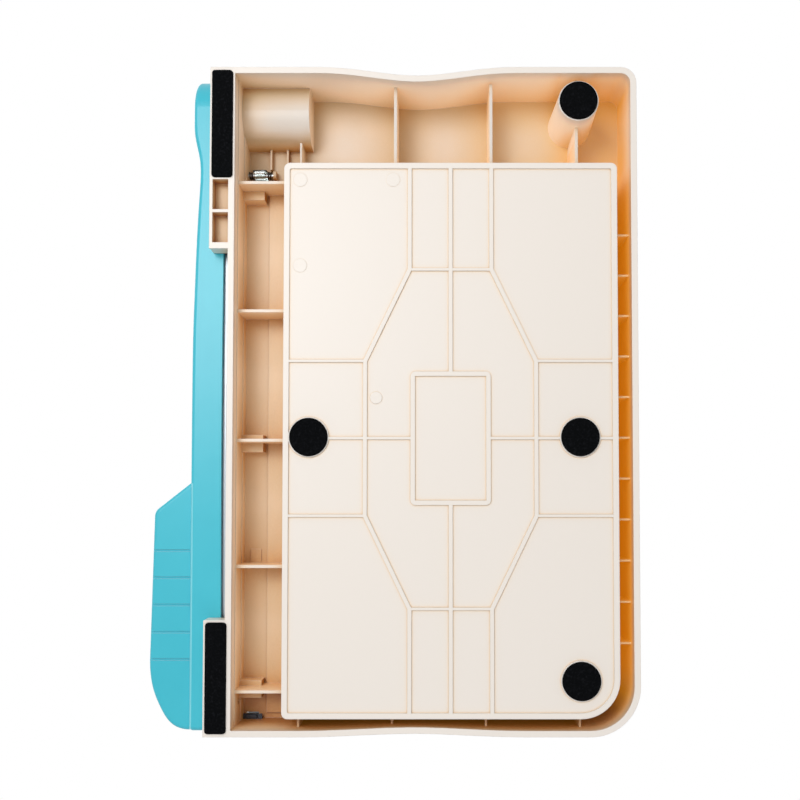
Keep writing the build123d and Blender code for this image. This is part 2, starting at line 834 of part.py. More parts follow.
def make_round_feet():
    """Four round rubber feet in their rings."""
    feet = []
    for x, y in foot_places:
        foot = rod_z(x, y, 0, panel_level, foot_radius)
        feet.append(fillet(foot.faces().sort_by(Axis.Z)[0].edges(), foot_edge_radius))
    return feet


def make_long_pad(front):
    """One long rubber pad, with its lower edges eased."""
    pad = make_pad(front, 0, foot_thickness, 0)
    return fillet(pad.faces().sort_by(Axis.Z)[0].edges(), foot_edge_radius)


def countersunk(y, z, face, direction, shank, head, depth, length):
    """A countersunk screw along X whose head is flush with the plane at face."""
    tip = face + direction * length
    body = rod_x(y, z, face, tip, shank)
    x0, x1 = sorted((face, face + direction * depth))
    r0, r1 = (head, shank) if direction > 0 else (shank, head)
    return body + cone_x(y, z, x0, x1, r0, r1)


def make_knife():
    """The bed knife: a steel strip let into the wall, flush with the deck."""
    knife = block(knife_inner, knife_outer, knife_front, knife_rear, knife_bottom, deck_top)
    for y in knife_screw_places:
        knife -= countersunk(y, knife_screw_z, knife_outer, -1, knife_screw_radius + screw_gap,
                             knife_screw_head_radius + screw_gap, knife_thickness, knife_screw_length)
    return knife


def make_knife_screws():
    """The bed knife's screws, one beside each channel rib."""
    return [countersunk(y, knife_screw_z, knife_outer, -1, knife_screw_radius, knife_screw_head_radius,
                        knife_thickness, knife_screw_length) for y in knife_screw_places]


def hexagon_x(x0, x1, across):
    """A hexagonal prism along X on the pivot axis."""
    shape = Plane.YZ * RegularPolygon(across / 2, 6, major_radius=False)
    return Pos(x0, pivot_y, pivot_height) * extrude(shape, amount=x1 - x0)


head_inner = hub_web_outer + hub_gap + washer_thickness
head_outer = head_inner + bolt_head_thickness
spring_outer = ear_inner - washer_thickness
spring_inner = spring_outer - pivot_spring_pitch * pivot_spring_turns - pivot_spring_wire
nut_outer = spring_inner - washer_thickness
nut_inner = nut_outer - nut_thickness
bolt_end = nut_inner - bolt_tail


def make_pivot_bolt():
    """The pivot bolt, from its head in the hub to its tail in the spring chamber."""
    bolt = rod_x(pivot_y, pivot_height, bolt_end, head_inner, bolt_radius)
    return bolt + hexagon_x(head_inner, head_outer, bolt_head_across_flats)


def ring_x(x0, x1, outer, inner):
    """A plain ring on the pivot axis."""
    hole = rod_x(pivot_y, pivot_height, x0 - overrun, x1 + overrun, inner)
    return rod_x(pivot_y, pivot_height, x0, x1, outer) - hole


def make_washers():
    """Steel washers under the head and at both ends of the spring."""
    bore = bolt_radius + running_clearance
    places = (head_inner - washer_thickness, spring_outer, spring_inner - washer_thickness)
    return [ring_x(x, x + washer_thickness, washer_radius, bore) for x in places]


def make_nut():
    """The lock nut, with its round collar."""
    nut = hexagon_x(nut_inner + nut_collar_height, nut_outer, bolt_head_across_flats)
    nut += rod_x(pivot_y, pivot_height, nut_inner, nut_inner + nut_collar_height, nut_collar_radius)
    thread = bolt_radius + thread_clearance
    return nut - rod_x(pivot_y, pivot_height, nut_inner - overrun, nut_outer + overrun, thread)


def biarc(start, start_way, end, end_way):
    """Two tangent arcs that join two points and keep the direction given at each."""
    v = end - start
    both = start_way + end_way
    a = 2 * (1 - start_way.dot(end_way))
    b = 2 * v.dot(both)
    c = -v.dot(v)
    reach = -c / b if abs(a) < 1e-9 else (-b + math.sqrt(b * b - 4 * a * c)) / (2 * a)
    first = start + start_way * reach
    last = end - end_way * reach
    middle = (first + last) * 0.5
    way = (last - first).normalized()
    if (way - start_way).length < 1e-7 and (way - end_way).length < 1e-7:
        return [Edge.make_line(start, end)]
    return [Edge.make_tangent_arc(start, start_way, middle), Edge.make_tangent_arc(middle, way, end)]


def wire_tube(knots, radius):
    """A round wire carried along biarcs through knots of (point, direction)."""
    edges = []
    for (start, start_way), (end, end_way) in zip(knots, knots[1:]):
        edges += biarc(start, start_way.normalized(), end, end_way.normalized())
    path = Wire(edges)
    section = Plane(origin=knots[0][0], z_dir=knots[0][1]) * Circle(radius)
    return sweep(section, path=path), path


def self_gap(path, radius, skip, steps=900):
    """The least gap between parts of one wire that lie further apart along it than skip."""
    points = [path.position_at(k / steps) for k in range(steps + 1)]
    step = path.length / steps
    apart = int(skip / step) + 1
    least = min((points[i] - points[j]).length
                for i in range(0, steps, 3)
                for j in range(i + apart, steps + 1, 3))
    return least - 2 * radius


def helix_knots(x0, y, z, radius, pitch, turns, start_angle, way):
    """Quarter-turn knots of a helix along X: radius times the angle's cosine in Y and sine in Z."""
    knots = []
    for k in range(turns * 4 + 1):
        angle = start_angle + way * k * math.pi / 2
        point = Vector(x0 + pitch * k / 4, y + radius * math.cos(angle), z + radius * math.sin(angle))
        slope = pitch / (2 * math.pi * radius)
        direction = Vector(slope, -way * math.sin(angle), way * math.cos(angle)).normalized()
        knots.append((point, direction))
    return knots


def make_pivot_spring():
    """The compression spring that draws the blade to the bed knife."""
    first = spring_inner + pivot_spring_wire / 2
    knots = helix_knots(first, pivot_y, pivot_height, pivot_spring_radius,
                        pivot_spring_pitch, pivot_spring_turns, 0, 1)
    tube, path = wire_tube(knots, pivot_spring_wire / 2)
    print("pivot spring gap %.2f" % self_gap(path, pivot_spring_wire / 2, pivot_spring_radius * 2))
    return tube


def make_clamp_spring():
    """The double torsion spring on the clamp's pin: leg, coil, bridge below the lug, coil, leg."""
    radius = clamp_pin_radius + spring_bore_gap + spring_wire / 2
    y = clamp_pin_y
    z = clamp_pin_z
    coil_length = spring_pitch * spring_turns
    right_start = clamp_mid_x - clamp_lug_width / 2 - spring_gap - spring_wire / 2 - coil_length
    left_start = clamp_mid_x + clamp_lug_width / 2 + spring_gap + spring_wire / 2
    down = Vector(0, 0, -1)
    up = Vector(0, 0, 1)
    across = Vector(1, 0, 0)
    right_coil = helix_knots(right_start, y, z, radius, spring_pitch, spring_turns, 0, -1)
    left_coil = helix_knots(left_start, y, z, radius, spring_pitch, spring_turns, 0, 1)
    rear_y = y + radius
    bridge_z = z - spring_bridge_drop - spring_bend
    right_end = right_start + coil_length
    leg_in = Vector(right_start, rear_y, z + spring_leg)
    leg_out = Vector(left_start + coil_length, rear_y, z + spring_leg)
    knots = [(leg_in, down)] + right_coil
    knots.append((Vector(right_end, rear_y, z - spring_bridge_drop), down))
    knots.append((Vector(right_end + spring_bend, rear_y, bridge_z), across))
    knots.append((Vector(left_start - spring_bend, rear_y, bridge_z), across))
    knots.append((Vector(left_start, rear_y, z - spring_bridge_drop), up))
    knots += left_coil + [(leg_out, up)]
    tube, path = wire_tube(knots, spring_wire / 2)
    print("clamp spring gap %.2f" % self_gap(path, spring_wire / 2, radius * 2))
    return tube


def make_pivot_cover():
    """The half-round cover over the spring chamber, with a flange for its screws."""
    right = housing_right
    inner_radius = housing_radius - pivot_cover_wall
    top = pivot_height + housing_radius
    cover = rod_x(pivot_y, pivot_height, right, ear_inner, housing_radius)
    cover -= rod_x(pivot_y, pivot_height, right + pivot_cover_wall, ear_inner + overrun, inner_radius)
    cover &= block(right, ear_inner, pivot_y - housing_radius, pivot_y + housing_radius, deck_top, top)
    face = deck_top + pivot_cover_flange_thickness
    flange = block(right - pivot_cover_flange, right + overrun,
                   pivot_y - inner_radius, pivot_y + inner_radius,
                   deck_top, face)
    cover += fillet(flange.edges().filter_by(Axis.Z).sort_by(Axis.X)[:2], pivot_cover_wall)
    for x, y in cover_screw_places():
        cover -= cap_screw_z(x, y, face, cover_screw_length, screw_gap)
    return cover


def cap_screw_z(x, y, face, length, gap):
    """A small countersunk screw along Z with its head flush at face."""
    shank = rod_z(x, y, face - length, face, fence_screw_radius + gap)
    head = Pos(x, y, face - fence_screw_head_depth / 2)
    head_radius = fence_screw_head_radius + gap
    return shank + head * Cone(fence_screw_radius + gap, head_radius, fence_screw_head_depth)


def make_cover_screws():
    """The two screws of the pivot cover."""
    face = deck_top + pivot_cover_flange_thickness
    return [cap_screw_z(x, y, face, cover_screw_length, 0) for x, y in cover_screw_places()]


def make_fence():
    """The paper stop across the rear of the bed."""
    x0, x1 = fence_span()
    top = deck_top + fence_height
    bed = top - scale_thickness
    fence = block(x0, x1, fence_front, fence_front + fence_width, deck_top, top)
    fence = fillet(fence.faces().sort_by(Axis.Z)[-1].edges(), fence_edge_radius)
    recess = scale_width / 2 + screw_gap
    fence -= block(x0 + scale_end_gap - screw_gap, x1 - scale_end_gap + screw_gap, fence_mid_y - recess,
                   fence_mid_y + recess, bed, top + overrun)
    for x in fence_screw_places():
        head = bed - fence_screw_head_depth
        fence -= rod_z(x, fence_mid_y, deck_top - overrun, head, fence_screw_radius + screw_gap)
        fence -= cap_screw_z(x, fence_mid_y, bed, fence_screw_length, screw_gap)
    return fence


def make_scale():
    """The thin printed scale in the top of the stop."""
    x0, x1 = fence_span()
    y0 = fence_mid_y - scale_width / 2
    top = deck_top + fence_height
    return block(x0 + scale_end_gap, x1 - scale_end_gap, y0, y0 + scale_width, top - scale_thickness, top)


def make_fence_screws():
    """The stop's screws, under the scale strip."""
    face = deck_top + fence_height - scale_thickness
    return [cap_screw_z(x, fence_mid_y, face, fence_screw_length, 0) for x in fence_screw_places()]


def make_catch():
    """The steel catch for the clamp bar: a short leg on the front wall and a slotted shelf."""
    x1 = left_inner - 2 * channel_step_depth - catch_wall_gap
    x0 = x1 - catch_width
    y0 = front_inner
    leg = block(x0, x1, y0, y0 + catch_thickness, catch_bottom, channel_ceiling)
    shelf = block(x0, x1, y0, y0 + catch_shelf, catch_bottom, catch_bottom + catch_thickness)
    slot_x = hook_x - catch_slot_length / 2
    slot_y = hook_y - catch_slot_width / 2
    slot = block(slot_x, slot_x + catch_slot_length, slot_y, slot_y + catch_slot_width,
                 catch_bottom - overrun, catch_bottom + catch_thickness + overrun)
    return leg + shelf - slot


def make_lid():
    """The lid of the well: it turns on its rounded right-hand edge."""
    below = lid_bottom - overrun
    above = deck_top + overrun
    lid = raised(well_outline(well_wall + lid_gap), lid_bottom, deck_top)
    # In front of its hinge line the lid is cut back, so that it turns clear of the well's large corner
    lid -= block(well_right, lid_pin_x, well_front, well_rear, below, above)
    lid -= block(well_right, lid_pin_x + lid_thickness, well_front, lid_hinge_front, below, above)
    lid += rod_y(lid_pin_x, lid_pin_z, lid_hinge_front, well_rear - well_wall - lid_gap, lid_thickness / 2)
    notch_x = well_left - well_wall - lid_gap + lid_notch_radius - lid_notch_depth
    lid -= rod_z(notch_x, well_mid_y, below, above, lid_notch_radius)
    inset = well_wall + lid_ledge_width + lid_rib_inset
    ring = raised(well_outline(inset), lid_bottom - lid_rib_height, lid_bottom)
    ring -= raised(well_outline(inset + lid_rib_thickness), lid_bottom - lid_rib_height - overrun, above)
    lid += ring
    for y0, y1 in lid_pin_spans():
        lid -= rod_y(lid_pin_x, lid_pin_z, y0, y1, lid_pin_radius + running_clearance)
    return lid


def make_lid_pins():
    """Two short steel pins, held in the base and loose in the lid."""
    return [rod_y(lid_pin_x, lid_pin_z, y0, y1, lid_pin_radius) for y0, y1 in lid_pin_spans()]


def bowed_bar(x0, x1, y0, y1, z0, z1):
    """A flat bar whose faces bow outwards by the blade's bow at the middle of its length."""
    mid = (y0 + y1) / 2
    edges = [
        ThreePointArc((x0, y0), (x0 + blade_bow, mid), (x0, y1)),
        Line((x0, y1), (x1, y1)),
        ThreePointArc((x1, y1), (x1 + blade_bow, mid), (x1, y0)),
        Line((x1, y0), (x0, y0)),
    ]
    return raised(make_face(edges), z0, z1)


def bow_at(y):
    """How far the bowed faces stand out at one place along the blade."""
    half = blade_length / 2
    radius = (half * half + blade_bow * blade_bow) / (2 * blade_bow)
    offset = y - (blade_front + half)
    return math.sqrt(radius * radius - offset * offset) - (radius - blade_bow)


def blade_screw(y, gap):
    """One countersunk screw of the blade, or the hole for it."""
    face = blade_inner + bow_at(y)
    return countersunk(y, blade_screw_z, face, 1, blade_screw_radius + gap, blade_screw_head_radius + gap,
                       blade_screw_head_depth, blade_screw_length)


def lock_hole(x0, x1):
    """The clearance hole for the lock's bolt through the blade and its carrier."""
    return rod_x(lock_y, lock_z, x0, x1, lock_bolt_radius + lock_hole_gap)


def make_blade():
    """The moving blade, hollow to the bed and ground along its lower outer edge."""
    blade = bowed_bar(blade_inner, blade_outer, blade_front, blade_rear, arm_bottom, blade_top)
    outside = blade_outer + blade_bow + overrun
    bevel_top = arm_bottom + blade_bevel_rise
    corners = [(outside, arm_bottom), (blade_outer - blade_bevel, arm_bottom), (outside, bevel_top)]
    bevel = extrude(Plane.XZ * make_face(Polyline(*corners, close=True)), amount=-blade_length)
    blade -= Pos(0, blade_front, 0) * bevel
    for y in blade_screw_places:
        face = blade_inner + bow_at(y)
        blade -= blade_screw(y, screw_gap)
        blade -= rod_x(y, blade_screw_z, face - overrun, face, blade_screw_head_radius + screw_gap)
    return blade - lock_hole(blade_inner - overrun, outside)


def make_carrier():
    """The steel bar behind the blade."""
    z0 = blade_top - carrier_height
    bar = bowed_bar(blade_outer, carrier_outer, blade_front, blade_rear, z0, blade_top)
    for y in blade_screw_places:
        bar -= blade_screw(y, screw_gap)
    return bar - lock_hole(blade_inner, carrier_outer + blade_bow + overrun)


def arm_plan(inset):
    """The arm in plan, longer than the arm: bowed towards the blade, with a waist in front of the hub."""
    inner = carrier_outer
    outer = arm_outer - inset
    front = arm_front - overrun
    rear = pivot_y + hub_radius + overrun
    step = blade_rear + hub_blade_gap
    waist_near = pivot_y - arm_waist_near
    waist_far = pivot_y - arm_waist_far
    swell = pivot_y - arm_swell_from_pivot
    hub_front = pivot_y - arm_hub_flat
    straight = handle_rear + arm_swell_from_handle
    edges = [
        ThreePointArc((inner, front), (inner + blade_bow, (front + step) / 2), (inner, step)),
        Line((inner, step), (hub_inner, step)),
        Line((hub_inner, step), (hub_inner, rear)),
        Line((hub_inner, rear), (outer, rear)),
        Line((outer, rear), (outer, hub_front)),
        Spline((outer, hub_front), (outer - arm_waist, waist_near), (outer - arm_waist, waist_far),
               (outer - arm_swell, swell), (outer, straight), tangents=((0, -1), (0, -1))),
        Line((outer, straight), (outer, front)),
        Line((outer, front), (inner, front)),
    ]
    return make_face(edges)


def arm_side(inset):
    """The arm from the side: a round hub, a neck that leaves it at a tangent and a straight underside."""
    radius = hub_radius - inset
    low = arm_bottom + inset
    front = arm_front + inset
    neck_drop = pivot_height - arm_bottom - arm_neck_height + inset
    neck_reach = math.hypot(arm_neck_from_pivot, neck_drop)
    turn = math.atan2(-neck_drop, -arm_neck_from_pivot) - math.acos(radius / neck_reach)
    crown = (pivot_y + radius * math.cos(turn), pivot_height + radius * math.sin(turn))
    neck = (pivot_y - arm_neck_from_pivot, arm_bottom + arm_neck_height - inset)
    corners = [(pivot_y, low), (front, low), (front, arm_bottom + arm_front_height - inset), neck, crown]
    face = make_face(Polyline(*corners, (pivot_y, pivot_height), close=True))
    end_corners = face.vertices().filter_by(lambda v: abs(v.X - front) < arm_wall)
    face = fillet(end_corners, arm_end_radius - inset / 2)
    face = fillet(face.vertices().sort_by_distance((neck[0], neck[1], 0))[0], neck_radius)
    sector = make_face([
        Line((pivot_y, low), (pivot_y, pivot_height)),
        Line((pivot_y, pivot_height), crown),
        ThreePointArc(crown, (pivot_y + radius, pivot_height), (pivot_y, low)),
    ])
    return face + sector


def arm_form(inset):
    """The arm's solid shape, or the space inside it."""
    plan = raised(arm_plan(inset), 0, pivot_height + 2 * hub_radius)
    side = extrude(Plane.YZ * arm_side(inset), amount=2 * arm_outer)
    return plan & side


def outer_loop(arm):
    """The smooth closed loop of edges round the arm's outer side."""
    faces = [f for f in arm.faces() if f.normal_at(f.center()).X > math.cos(math.radians(30))]
    edges = [e for f in faces for e in f.edges()]
    return [e for e in edges if sum(e.is_same(other) for other in edges) == 1]


def make_arm():
    """The arm moulding: open towards the blade, with screw bosses and a solid hub."""
    arm = arm_form(0)
    arm = fillet(outer_loop(arm), arm_edge_radius)
    top = pivot_height + 2 * hub_radius
    arm -= arm_form(arm_wall) & block(hub_inner, arm_outer, arm_front, blade_rear, 0, top)
    boss_limit = arm_form(blade_boss_skin)
    for y in blade_screw_places:
        face = carrier_outer + bow_at(y)
        boss = rod_x(y, blade_screw_z, face + screw_gap, arm_outer, blade_boss_radius)
        arm += boss & boss_limit
    for y in blade_screw_places:
        tip = blade_inner + bow_at(y) + blade_screw_length + screw_gap
        arm -= rod_x(y, blade_screw_z, blade_inner, tip, blade_screw_radius + screw_gap)
    # The hub's bore and the recess for the bolt's head
    arm -= rod_x(pivot_y, pivot_height, hub_inner - overrun, hub_web_outer + overrun, bush_radius)
    arm -= rod_x(pivot_y, pivot_height, hub_web_outer, arm_outer + overrun, hub_recess_radius)
    screw_z = handle_screw_z
    for y in handle_screw_places():
        x0 = arm_outer - arm_wall - overrun
        arm -= rod_x(y, screw_z, x0, arm_outer + overrun, handle_screw_radius + screw_gap)
    # The slot in which the lock button's stem slides
    x0 = lock_stem_x - lock_stem_thickness / 2 - lock_travel - lock_slot_gap
    x1 = lock_stem_x + lock_stem_thickness / 2 + lock_slot_gap
    half_slot = lock_stem_width / 2 + lock_slot_gap
    return arm - block(x0, x1, lock_y - half_slot, lock_y + half_slot, lock_z, top)


def arm_top_at(y):
    """The height of the arm's top line in front of the neck."""
    neck = pivot_y - arm_neck_from_pivot
    share = (y - arm_front) / (neck - arm_front)
    return arm_bottom + arm_front_height + share * (arm_neck_height - arm_front_height)


def handle_screw_places():
    """The handle's screws, centred on its straight length."""
    middle = arm_front + handle_length / 2
    first = middle - (handle_screw_count - 1) / 2 * handle_screw_pitch
    return [first + k * handle_screw_pitch for k in range(handle_screw_count)]


def handle_plan(inset):
    """The handle in plan: a sloping shoulder, a straight grip and a long rounded nose."""
    x0 = arm_outer + inset
    x1 = handle_outer - inset
    rear = handle_rear - inset
    front = arm_front + inset
    shoulder = (arm_outer + handle_shoulder_reach - inset, handle_rear - handle_shoulder - inset)
    nose_start = front + handle_nose_length
    reach = x1 - x0
    bend = math.radians(45)
    nose_mid = (x0 + reach * math.sin(bend), nose_start - handle_nose_length * math.cos(bend))
    outline = Polyline((x0, front), (x0, rear), shoulder, (x1, nose_start), (x0, nose_start), close=True)
    corners = make_face(outline)
    corner = corners.vertices().sort_by_distance((shoulder[0], shoulder[1], 0))[0]
    corners = fillet(corner, handle_shoulder_radius - inset)
    nose_curve = Spline((x1, nose_start), nose_mid, (x0, front), tangents=((0, -1), (-1, 0)))
    nose_side = Line((x0, front), (x0, nose_start))
    nose = make_face([Line((x0, nose_start), (x1, nose_start)), nose_curve, nose_side])
    return corners + nose


def make_handle_lower():
    """The lower half of the grip, with cross grooves and screw bosses."""
    z1 = handle_bottom + handle_split
    half = raised(handle_plan(0), handle_bottom, z1)
    bottom = half.faces().sort_by(Axis.Z)[0]
    rim_edges = [e for e in bottom.edges() if e.center().X > arm_outer + groove_depth]
    half = fillet(rim_edges, handle_edge_radius)
    half -= raised(handle_plan(handle_wall), handle_bottom + handle_wall, z1 + overrun)
    tip = arm_outer + handle_screw_length
    for y in handle_screw_places():
        half += rod_x(y, handle_screw_z, arm_outer, arm_outer + handle_boss_length, handle_boss_radius)
        half -= rod_x(y, handle_screw_z, arm_outer - overrun, tip, handle_screw_radius + screw_gap)
    for y in groove_places():
        half -= groove(y, handle_bottom - overrun, handle_bottom + groove_depth)
    return half


def groove(y, z0, z1):
    """One shallow groove across the grip."""
    y0 = y - groove_width / 2
    return block(arm_outer - overrun, handle_outer + overrun, y0, y0 + groove_width, z0, z1)


def groove_places():
    """Where the grip's cross grooves lie."""
    first = handle_rear - handle_shoulder - groove_from_shoulder
    return [first - k * groove_pitch for k in range(groove_count)]


def make_handle_upper():
    """The upper half of the grip, with a soft round top."""
    z0 = handle_bottom + handle_split
    z1 = handle_bottom + handle_height
    half = raised(handle_plan(0), z0, z1)
    top = half.faces().sort_by(Axis.Z)[-1]
    rim_edges = [e for e in top.edges() if e.center().X > arm_outer + groove_depth]
    half = fillet(rim_edges, handle_edge_radius)
    half -= raised(handle_plan(handle_wall), z0 - overrun, z1 - handle_wall)
    for y in groove_places():
        half -= groove(y, z1 - groove_depth, z1 + overrun)
    return half


def make_handle_screws():
    """Pan screws from inside the arm into the grip."""
    screws = []
    face = arm_outer - arm_wall
    tip = arm_outer + handle_screw_length - 2 * arm_wall
    for y in handle_screw_places():
        head = rod_x(y, handle_screw_z, face - handle_screw_head, face, handle_screw_head_radius)
        screws.append(head + rod_x(y, handle_screw_z, face, tip, handle_screw_radius))
    return screws


def make_cap():
    """The cap that covers the bolt's head."""
    x0 = head_outer + cap_gap
    cap = rod_x(pivot_y, pivot_height, x0, x0 + cap_thickness, hub_recess_radius - cap_play)
    return fillet(cap.faces().sort_by(Axis.X)[-1].edges(), cap_edge_radius)


def make_lock_bolt():
    """The sliding bolt that holds the arm shut."""
    return rod_x(lock_y, lock_z, lock_tip, lock_tip + lock_bolt_length, lock_bolt_radius)


def make_lock_button():
    """The thumb button on top of the arm, and its stem down to the bolt."""
    face = arm_top_at(lock_y + lock_button_length / 2) + lock_button_gap
    x0 = lock_stem_x - lock_button_width / 2
    y0 = lock_y - lock_button_length / 2
    button = block(x0, x0 + lock_button_width, y0, y0 + lock_button_length, face, face + lock_button_height)
    button = fillet(button.faces().sort_by(Axis.Z)[-1].edges(), lock_button_edge)
    x0 = lock_stem_x - lock_stem_thickness / 2
    x1 = x0 + lock_stem_thickness
    y0 = lock_y - lock_stem_width / 2
    button += block(x0, x1, y0, y0 + lock_stem_width, lock_z, face)
    button += rod_x(lock_y, lock_z, x0, x1, lock_eye_radius)
    return button - rod_x(lock_y, lock_z, x0 - overrun, x1 + overrun, lock_bolt_radius + thread_clearance)


def lifted(shape):
    """Turn a clamp piece about its hinge pin to the raised rest position."""
    at_pin = Pos(0, clamp_pin_y, clamp_pin_z)
    from_pin = Pos(0, -clamp_pin_y, -clamp_pin_z)
    return at_pin * Rot(-clamp_lift, 0, 0) * from_pin * shape


def make_clamp_bar():
    """The clear clamp bar, with its finger guard and the lug on the hinge pin."""
    z0 = clamp_bottom + clamp_strip_thickness
    guard_x = clamp_right + clamp_guard_thickness
    bar = block(clamp_right, clamp_left, clamp_front, clamp_rear, z0, z0 + clamp_bar_thickness)
    bar += block(clamp_right, guard_x, clamp_front, clamp_rear, z0, z0 + clamp_guard_height)
    x0 = clamp_mid_x - clamp_lug_width / 2
    x1 = x0 + clamp_lug_width
    y0 = clamp_pin_y - clamp_lug_length / 2
    bar += block(x0, x1, y0, y0 + clamp_lug_length, clamp_pin_z, z0)
    bar += rod_x(clamp_pin_y, clamp_pin_z, x0, x1, clamp_lug_length / 2)
    tail_y = clamp_pin_y + clamp_pin_radius
    bar += block(x0, x1, tail_y - clamp_tail_width, tail_y, clamp_pin_z - clamp_tail_drop, clamp_pin_z)
    bar -= rod_x(clamp_pin_y, clamp_pin_z, x0 - overrun, x1 + overrun, clamp_pin_radius + running_clearance)
    return lifted(bar)


def make_clamp_strips():
    """Two rubber gripping strips under the clamp bar, either side of its lug and hook."""
    rear = clamp_pin_y - clamp_strip_rear_gap
    front = clamp_front + clamp_strip_front_gap
    top = clamp_bottom + clamp_strip_thickness
    strips = []
    for x0 in (clamp_right, clamp_left - clamp_strip_width):
        strips.append(lifted(block(x0, x0 + clamp_strip_width, front, rear, clamp_bottom, top)))
    return strips


def make_clamp_hook():
    """The steel hook that limits the clamp bar's lift under the catch."""
    lift = (clamp_pin_y - hook_y) * math.tan(math.radians(clamp_lift))
    z0 = catch_bottom - clamp_rest_gap - hook_lip_height - lift
    x0 = hook_x - hook_width / 2
    x1 = x0 + hook_width
    y0 = hook_y - hook_thickness / 2
    y1 = y0 + hook_thickness
    hook = block(x0, x1, y0, y1, z0, clamp_bottom + clamp_strip_thickness)
    return lifted(hook + block(x0, x1, y0, y1 + hook_lip, z0, z0 + hook_lip_height))


def make_clamp_pin():
    """The clamp bar's hinge pin."""
    reach = clamp_pin_length / 2
    return rod_x(clamp_pin_y, clamp_pin_z, clamp_mid_x - reach, clamp_mid_x + reach, clamp_pin_radius)


def save(name, shapes):
    """Write one node, moved so that the machine stands on its own middle."""
    solids = shapes if isinstance(shapes, list) else [shapes]
    whole = [Pos(-origin_x, -origin_y, 0) * solid for shape in solids for solid in shape.solids()]
    node = whole[0] if len(whole) == 1 else Compound(children=whole)
    export_step(node, "parts/%s.step" % name)


nodes = {
    "base_shell": make_base(),
    "round_rubber_feet": make_round_feet(),
    "rear_rubber_pad": make_long_pad(False),
    "front_rubber_pad": make_long_pad(True),
    "bed_knife": make_knife(),
    "bed_knife_screws": make_knife_screws(),
    "pivot_bolt": make_pivot_bolt(),
    "pivot_washers": make_washers(),
    "thrust_washer": ring_x(half_width, half_width + washer_thickness,
                            thrust_washer_radius, bolt_radius + running_clearance),
    "pivot_spring": make_pivot_spring(),
    "pivot_lock_nut": make_nut(),
    "pivot_cover": make_pivot_cover(),
    "pivot_cover_screws": make_cover_screws(),
    "paper_stop": make_fence(),
    "paper_stop_screws": make_fence_screws(),
    "scale_strip": make_scale(),
    "clamp_hinge_pin": make_clamp_pin(),
    "clamp_spring": make_clamp_spring(),
    "clamp_catch_plate": make_catch(),
    "storage_lid": make_lid(),
    "lid_hinge_pins": make_lid_pins(),
    "clamp_bar": make_clamp_bar(),
    "clamp_grip_strips": make_clamp_strips(),
    "clamp_hook": make_clamp_hook(),
    "arm_shell": make_arm(),
    "handle_lower": make_handle_lower(),
    "handle_upper": make_handle_upper(),
    "handle_screws": make_handle_screws(),
    "moving_blade": make_blade(),
    "blade_carrier": make_carrier(),
    "blade_screws": [blade_screw(y, 0) for y in blade_screw_places],
    "arm_bush": ring_x(hub_inner, hub_web_outer, bush_radius, bolt_radius + running_clearance),
    "pivot_cap": make_cap(),
    "lock_bolt": make_lock_bolt(),
    "lock_button": make_lock_button(),
}
for name, shapes in nodes.items():
    save(name, shapes)
print("origin", round(origin_x, 3), round(origin_y, 3))
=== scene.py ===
import math

import bpy
import numpy as np
from mathutils import Matrix, Vector


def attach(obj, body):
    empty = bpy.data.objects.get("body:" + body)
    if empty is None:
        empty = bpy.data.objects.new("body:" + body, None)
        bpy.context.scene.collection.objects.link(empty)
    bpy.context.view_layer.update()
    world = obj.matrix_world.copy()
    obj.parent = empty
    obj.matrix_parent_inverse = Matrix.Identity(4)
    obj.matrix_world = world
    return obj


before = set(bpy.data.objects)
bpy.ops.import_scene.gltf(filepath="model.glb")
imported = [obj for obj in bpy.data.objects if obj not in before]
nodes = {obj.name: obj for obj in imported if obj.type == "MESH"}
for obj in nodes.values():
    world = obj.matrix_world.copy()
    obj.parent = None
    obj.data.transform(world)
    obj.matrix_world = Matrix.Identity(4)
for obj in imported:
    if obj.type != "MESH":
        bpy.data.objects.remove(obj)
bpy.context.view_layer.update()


# Base moulding. The real one is a single ivory ABS shell from an injection mould: skirt, deck, well, ribs,
# foot column, pivot housing and ledges. Its skin is smooth and slightly waxy. Light that bounces about in a
# narrow gap, or comes through a thin wall, turns a deep orange there; here that orange, and the shade where
# the moulding closes in, are painted into the colour.
MM = 0.001
BASE_SHADE_REACH = 34 * MM
MOULD_GRAIN = 0.5 * MM
MOULD_GRAIN_DEPTH = 0.012 * MM
RIM_TO_DEEP_Z = (3 * MM, 9 * MM)
THICK_TO_THIN_X = (20 * MM, -100 * MM)
FRONT_GAP_Y = (-172 * MM, -184 * MM)
REAR_CAVITY_Y = (126 * MM, 136 * MM)
HOUSING_X = (22 * MM, 48 * MM)
HOUSING_Y = (120 * MM, 132 * MM)
CHANNEL_SIDE_X = 92 * MM
WELL_MARGIN = 1.6 * MM
COLUMN_FOOT = (-106.6 * MM, 168.4 * MM, 0)
COLUMN_REACH = (19 * MM, 17 * MM)
# Colour ramps by openness: the first darkens to painted orange-brown shade where the moulding closes in, the
# second paints a bright orange glow where light would come through the thin side; both end in the plastic's
# own ivory.
IVORY_AND_SHADE_STOPS = [
    (0.00, "#7c3004"), (0.12, "#a85a14"), (0.25, "#dcae74"), (0.45, "#d2bc98"), (0.58, "#e6ccac"),
    (0.70, "#efd8be"), (0.82, "#f2e4d4"), (0.95, "#f3ebe2")]
IVORY_AND_GLOW_STOPS = [
    (0.00, "#e6b41c"), (0.12, "#e8b440"), (0.30, "#ecc080"), (0.55, "#ecd0a2"), (0.72, "#f4e0c8"),
    (0.82, "#f4e9dc"), (0.95, "#f3ebe2")]


def linear(colour):
    """An sRGB hex colour as linear RGBA."""
    channels = [int(colour[i:i + 2], 16) / 255 for i in (1, 3, 5)]
    return [c / 12.92 if c <= 0.04045 else ((c + 0.055) / 1.055) ** 2.4 for c in channels] + [1.0]


